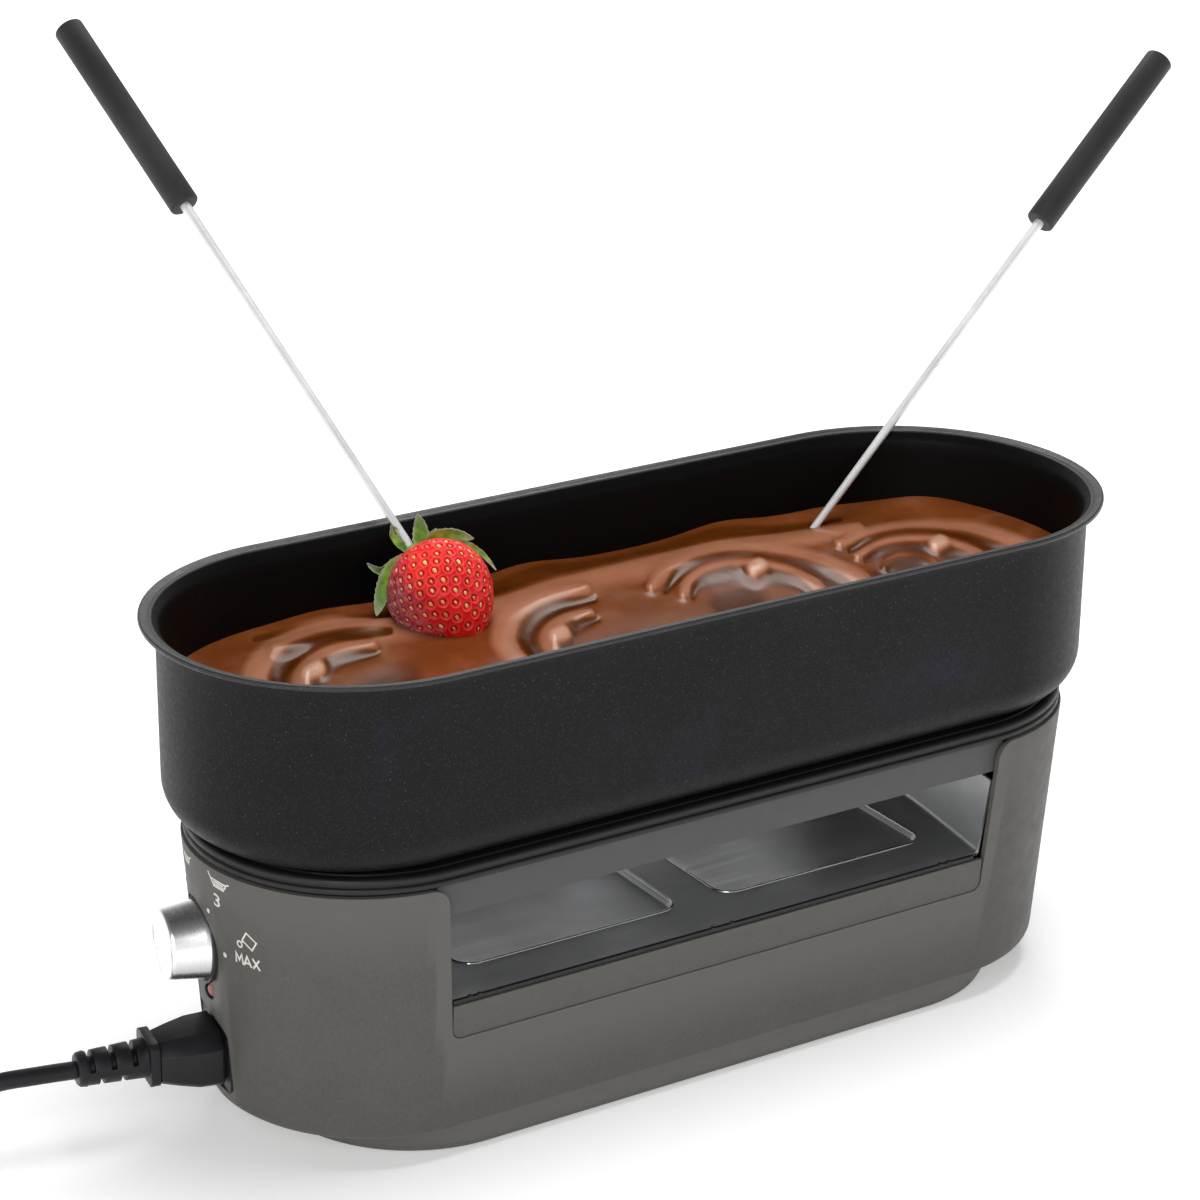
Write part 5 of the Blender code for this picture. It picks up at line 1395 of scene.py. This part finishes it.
def make_sepals():
    """Leafy crown: thin cupped sepals with ragged, paler edges, and a short ring of stalk."""
    points, faces, edges = [], [], []
    across = 9
    for index, (knots, half, twist, cup) in enumerate(SEPALS):
        line = smooth_route([BERRY_TOP + LEAF_RIGHT * a + LEAF_UP * b + LEAF_BACK * c for a, b,
                             c in knots], 0.8)
        rows = len(line) - 1
        start = len(points)
        for layer in (-0.2, 0.2):
            for i, centre in enumerate(line):
                t = i / rows
                ahead = (line[min(i + 1, rows)] - line[max(i - 1, 0)]).normalized()
                normal = (-LEAF_BACK + ahead * LEAF_BACK.dot(ahead)).normalized()
                normal = Matrix.Rotation(math.radians(twist * (0.3 + 0.7 * t)), 3, ahead) @ normal
                side = ahead.cross(normal)
                width = half * min(1.0, 0.42 + 1.9 * t) * max(1 - t ** 2.6, 0) ** 0.75 + 0.1
                width *= 1 + 0.07 * math.sin(i * 2.3 + index)
                for j in range(across):
                    u = j / (across - 1) * 2 - 1
                    lift = cup * width * abs(u) ** 1.7 + 0.16 * math.sin(1.1 * i + 2.6 * u + index)
                    points.append(centre + side * (u * width) + normal * (lift + layer))
                    edges.append(min(1.0, abs(u) ** 5 * 0.9 + t ** 7))
        grid = (rows + 1) * across
        for i in range(rows):
            for j in range(across - 1):
                k = start + i * across + j
                faces.append((k, k + across, k + across + 1, k + 1))
                faces.append((k + grid, k + grid + 1, k + grid + across + 1, k + grid + across))
        rim = [i * across for i in range(rows + 1)] + [rows * across + j for j in range(1, across)]
        rim += [i * across + across - 1 for i in range(rows - 1, -1,
                                                       -1)] + [j for j in range(across - 2, 0, -1)]
        for k, first in enumerate(rim):
            second = rim[(k + 1) % len(rim)]
            faces.append((start + first, start + second, start + grid + second, start + grid + first))
    stalk = [circle(BERRY_TOP - BERRY_DOWN * d, BERRY_DOWN, r, 20)
             for d, r in ((-1.2, 4.6), (0.2, 4.2), (1.0, 3.2), (1.6, 2.4), (1.4, 1.7), (-1.2, 1.6))]
    start = len(points)
    for r, ring in enumerate(stalk):
        points += ring
        edges += [0.25] * len(ring)
        for k in range(20):
            low, j = start + r * 20, (k + 1) % 20
            high = start + (r + 1) % len(stalk) * 20
            faces.append((low + k, low + j, high + j, high + k))
    sepals = add_mesh("strawberry_sepals", points, faces, MATERIALS["strawberry_leaf"])
    edge = sepals.data.attributes.new("edge", "FLOAT", "POINT")
    edge.data.foreach_set("value", edges)
    place(sepals, "left_fork", "strawberry_leaf", "strawberry_leaves", angle=60)


# ---------------------------------------------------------------- connector

def lead_section(out, half_width, half_height, chamfer, small):
    """Eight-sided section of the connector, wide chamfers at the top."""
    w, h, c, s, z = half_width, half_height, chamfer, small, INLET_HEIGHT
    corners = [(-w, -h + s), (-w + s, -h), (w - s, -h), (w, -h + s), (w, h - c), (w - c, h),
               (-w + c, h), (-w, h - c)]
    return [at_end(out, u, z + v) for u, v in corners]


def make_connector():
    """Moulded connector with flat facets, a flange and a slotted strain relief."""
    mat = MATERIALS["cord_rubber"]
    sizes = [(43.2, 11.7, 7.9, 4.4, 1.0), (58.4, 11.7, 7.9, 4.4, 1.0), (58.4, 13.2, 9.8, 5.4, 1.6),
             (59.2, 13.5, 10.1, 5.6, 1.6), (67.5, 13.3, 9.9, 5.6, 1.8), (75.0, 11.6, 8.7, 5.0, 2.0),
             (81.0, 9.6, 7.6, 4.2, 2.0)]
    body = loft("connector_shell", [lead_section(*row) for row in sizes], mat)
    bevel(body, 0.45, 2, 20)
    place(body, "cord_set", "cord_rubber", "connector_body", angle=18)
    z = INLET_HEIGHT
    collar = rounded_box((-9.4, z - 8.6), (9.4, z + 8.6), 3.2)
    relief = extruded("connector_boot", [at_end(81.3, u, v) for u, v in collar], OUT * 3.4, mat)
    end = CORD_START - 0.3
    sleeve = [(84, 7.4), (88, 7.1), (end - 3.4, 6.3), (end - 3.0, 6.6), (end - 0.8, 6.3), (end, 5.6)]
    combine(relief, turned("sleeve", at_end(0, 0, z), OUT, sleeve, mat, 48), "UNION")
    for out, flip in ((88.6, 1), (92.6, -1), (96.4, 1), (100.4, -1), (104.2, 1)):
        low, high = (z + 0.8, z + 9) if flip > 0 else (z - 9, z - 2.2)
        corners = [at_end(out, s, h) for s, h in ((-9, low), (9, low), (9, high), (-9, high))]
        notch = extruded("notch", corners, OUT * 2.1, mat)
        combine(notch, turned("core", at_end(0, 0, z), OUT, [(out - 1, 4.1), (out + 3.1, 4.1)], mat, 32))
        combine(relief, notch)
    bevel(relief, 0.3, 2, 34)
    place(relief, "cord_set", "cord_rubber", "strain_relief", angle=30)


# ---------------------------------------------------------------- stage

def make_stage():
    """White floor that glows, less close to the base as painted shadow round it, soft studio light, bright
    walls low down and a dim ceiling.
    """
    mesh = bpy.data.meshes.new("floor")
    mesh.from_pydata([(-8, -8, 0), (8, -8, 0), (8, 12, 0), (-8, 12, 0)], [], [(0, 1, 2, 3)])
    floor = bpy.data.objects.new("floor", mesh)
    floor.location.z = -0.0006
    bpy.context.scene.collection.objects.link(floor)
    n = Nodes("floor")
    n.link(n.ramp(n.noise(1.5, 2), [(0.3, (0.90, 0.90, 0.90)), (0.7, (0.92, 0.92, 0.92))]),
           n.shader.inputs["Base Color"])
    n.shader.inputs["Roughness"].default_value = 0.9
    n.shader.inputs["Specular IOR Level"].default_value = 0.1
    n.shader.inputs["Emission Color"].default_value = (1, 1, 1, 1)
    # Glow grows with distance from the base: dimmer near it as painted shadow.
    away = n.add("VectorMath", operation="DISTANCE")
    n.link(n.place, away.inputs[0])
    away.inputs[1].default_value = BASE
    n.link(n.grey(away.outputs["Value"], 0.33, 0.95, 0.3, 1.5), n.shader.inputs["Emission Strength"])
    mesh.materials.append(n.mat)

    world = bpy.data.worlds.new("studio")
    world.use_nodes = True
    tree = world.node_tree
    sky = tree.nodes["Background"]
    coords = tree.nodes.new("ShaderNodeTexCoord")
    split = tree.nodes.new("ShaderNodeSeparateXYZ")
    ramp = tree.nodes.new("ShaderNodeValToRGB")
    stops = [(0.0, 0.95), (0.5, 1.0), (0.62, 1.0), (0.70, 0.5), (0.80, 0.2), (1.0, 0.13)]
    while len(ramp.color_ramp.elements) < len(stops):
        ramp.color_ramp.elements.new(0.5)
    for element, (where, bright) in zip(ramp.color_ramp.elements, stops):
        element.position = where
        element.color = (bright, bright, bright, 1)
    level = tree.nodes.new("ShaderNodeMapRange")
    level.inputs["From Min"].default_value = -1
    tree.links.new(coords.outputs["Generated"], split.inputs["Vector"])
    tree.links.new(split.outputs["Z"], level.inputs["Value"])
    tree.links.new(level.outputs["Result"], ramp.inputs["Fac"])
    seen = tree.nodes.new("ShaderNodeBackground")
    seen.inputs["Color"].default_value = (1, 1, 1, 1)
    seen.inputs["Strength"].default_value = 1.05
    path = tree.nodes.new("ShaderNodeLightPath")
    choose = tree.nodes.new("ShaderNodeMixShader")
    tree.links.new(ramp.outputs["Color"], sky.inputs["Color"])
    tree.links.new(path.outputs["Is Camera Ray"], choose.inputs["Fac"])
    tree.links.new(sky.outputs["Background"], choose.inputs[1])
    tree.links.new(seen.outputs["Background"], choose.inputs[2])
    tree.links.new(choose.outputs["Shader"], tree.nodes["World Output"].inputs["Surface"])
    turn = tree.nodes.new("ShaderNodeMapRange")
    for socket, value in (("From Min", -1), ("From Max", 1), ("To Min", 0.98), ("To Max", 0.68)):
        turn.inputs[socket].default_value = value
    tree.links.new(split.outputs["X"], turn.inputs["Value"])
    tree.links.new(turn.outputs["Result"], sky.inputs["Strength"])
    bpy.context.scene.world = world

    lights = [("front", (-1.2, -1.2, 0.95), (0, 0, 0.1), 1.0, 9, True),
              ("back", (0.65, 1.05, 1.25), (0, 0, 0.15), 0.7, 5, True),
              ("top", (0.15, -0.05, 1.5), (0, 0, 0.1), 0.8, 15, False)]
    for name, where, aim, size, power, glint in lights:
        data = bpy.data.lights.new(name, "AREA")
        data.shape = "DISK"
        data.size = size
        data.energy = power
        lamp = bpy.data.objects.new(name, data)
        lamp.visible_glossy = glint
        lamp.location = BASE + Vector(where)
        lamp.rotation_euler = (BASE + Vector(aim) - lamp.location).to_track_quat("-Z", "Y").to_euler()
        bpy.context.scene.collection.objects.link(lamp)
    bpy.context.scene.view_settings.view_transform = "Standard"


make_shell()
for label, direction in (("front", -1), ("back", 1)):
    make_sill(label, direction)
    make_rail(label, direction)
make_tray()
make_ring()
make_knob()
make_lamp()
make_print()
make_pot()
make_chocolate()
make_fork(LEFT_FORK)
make_fork(RIGHT_FORK)
make_berry()
make_sepals()
make_connector()
make_stage()
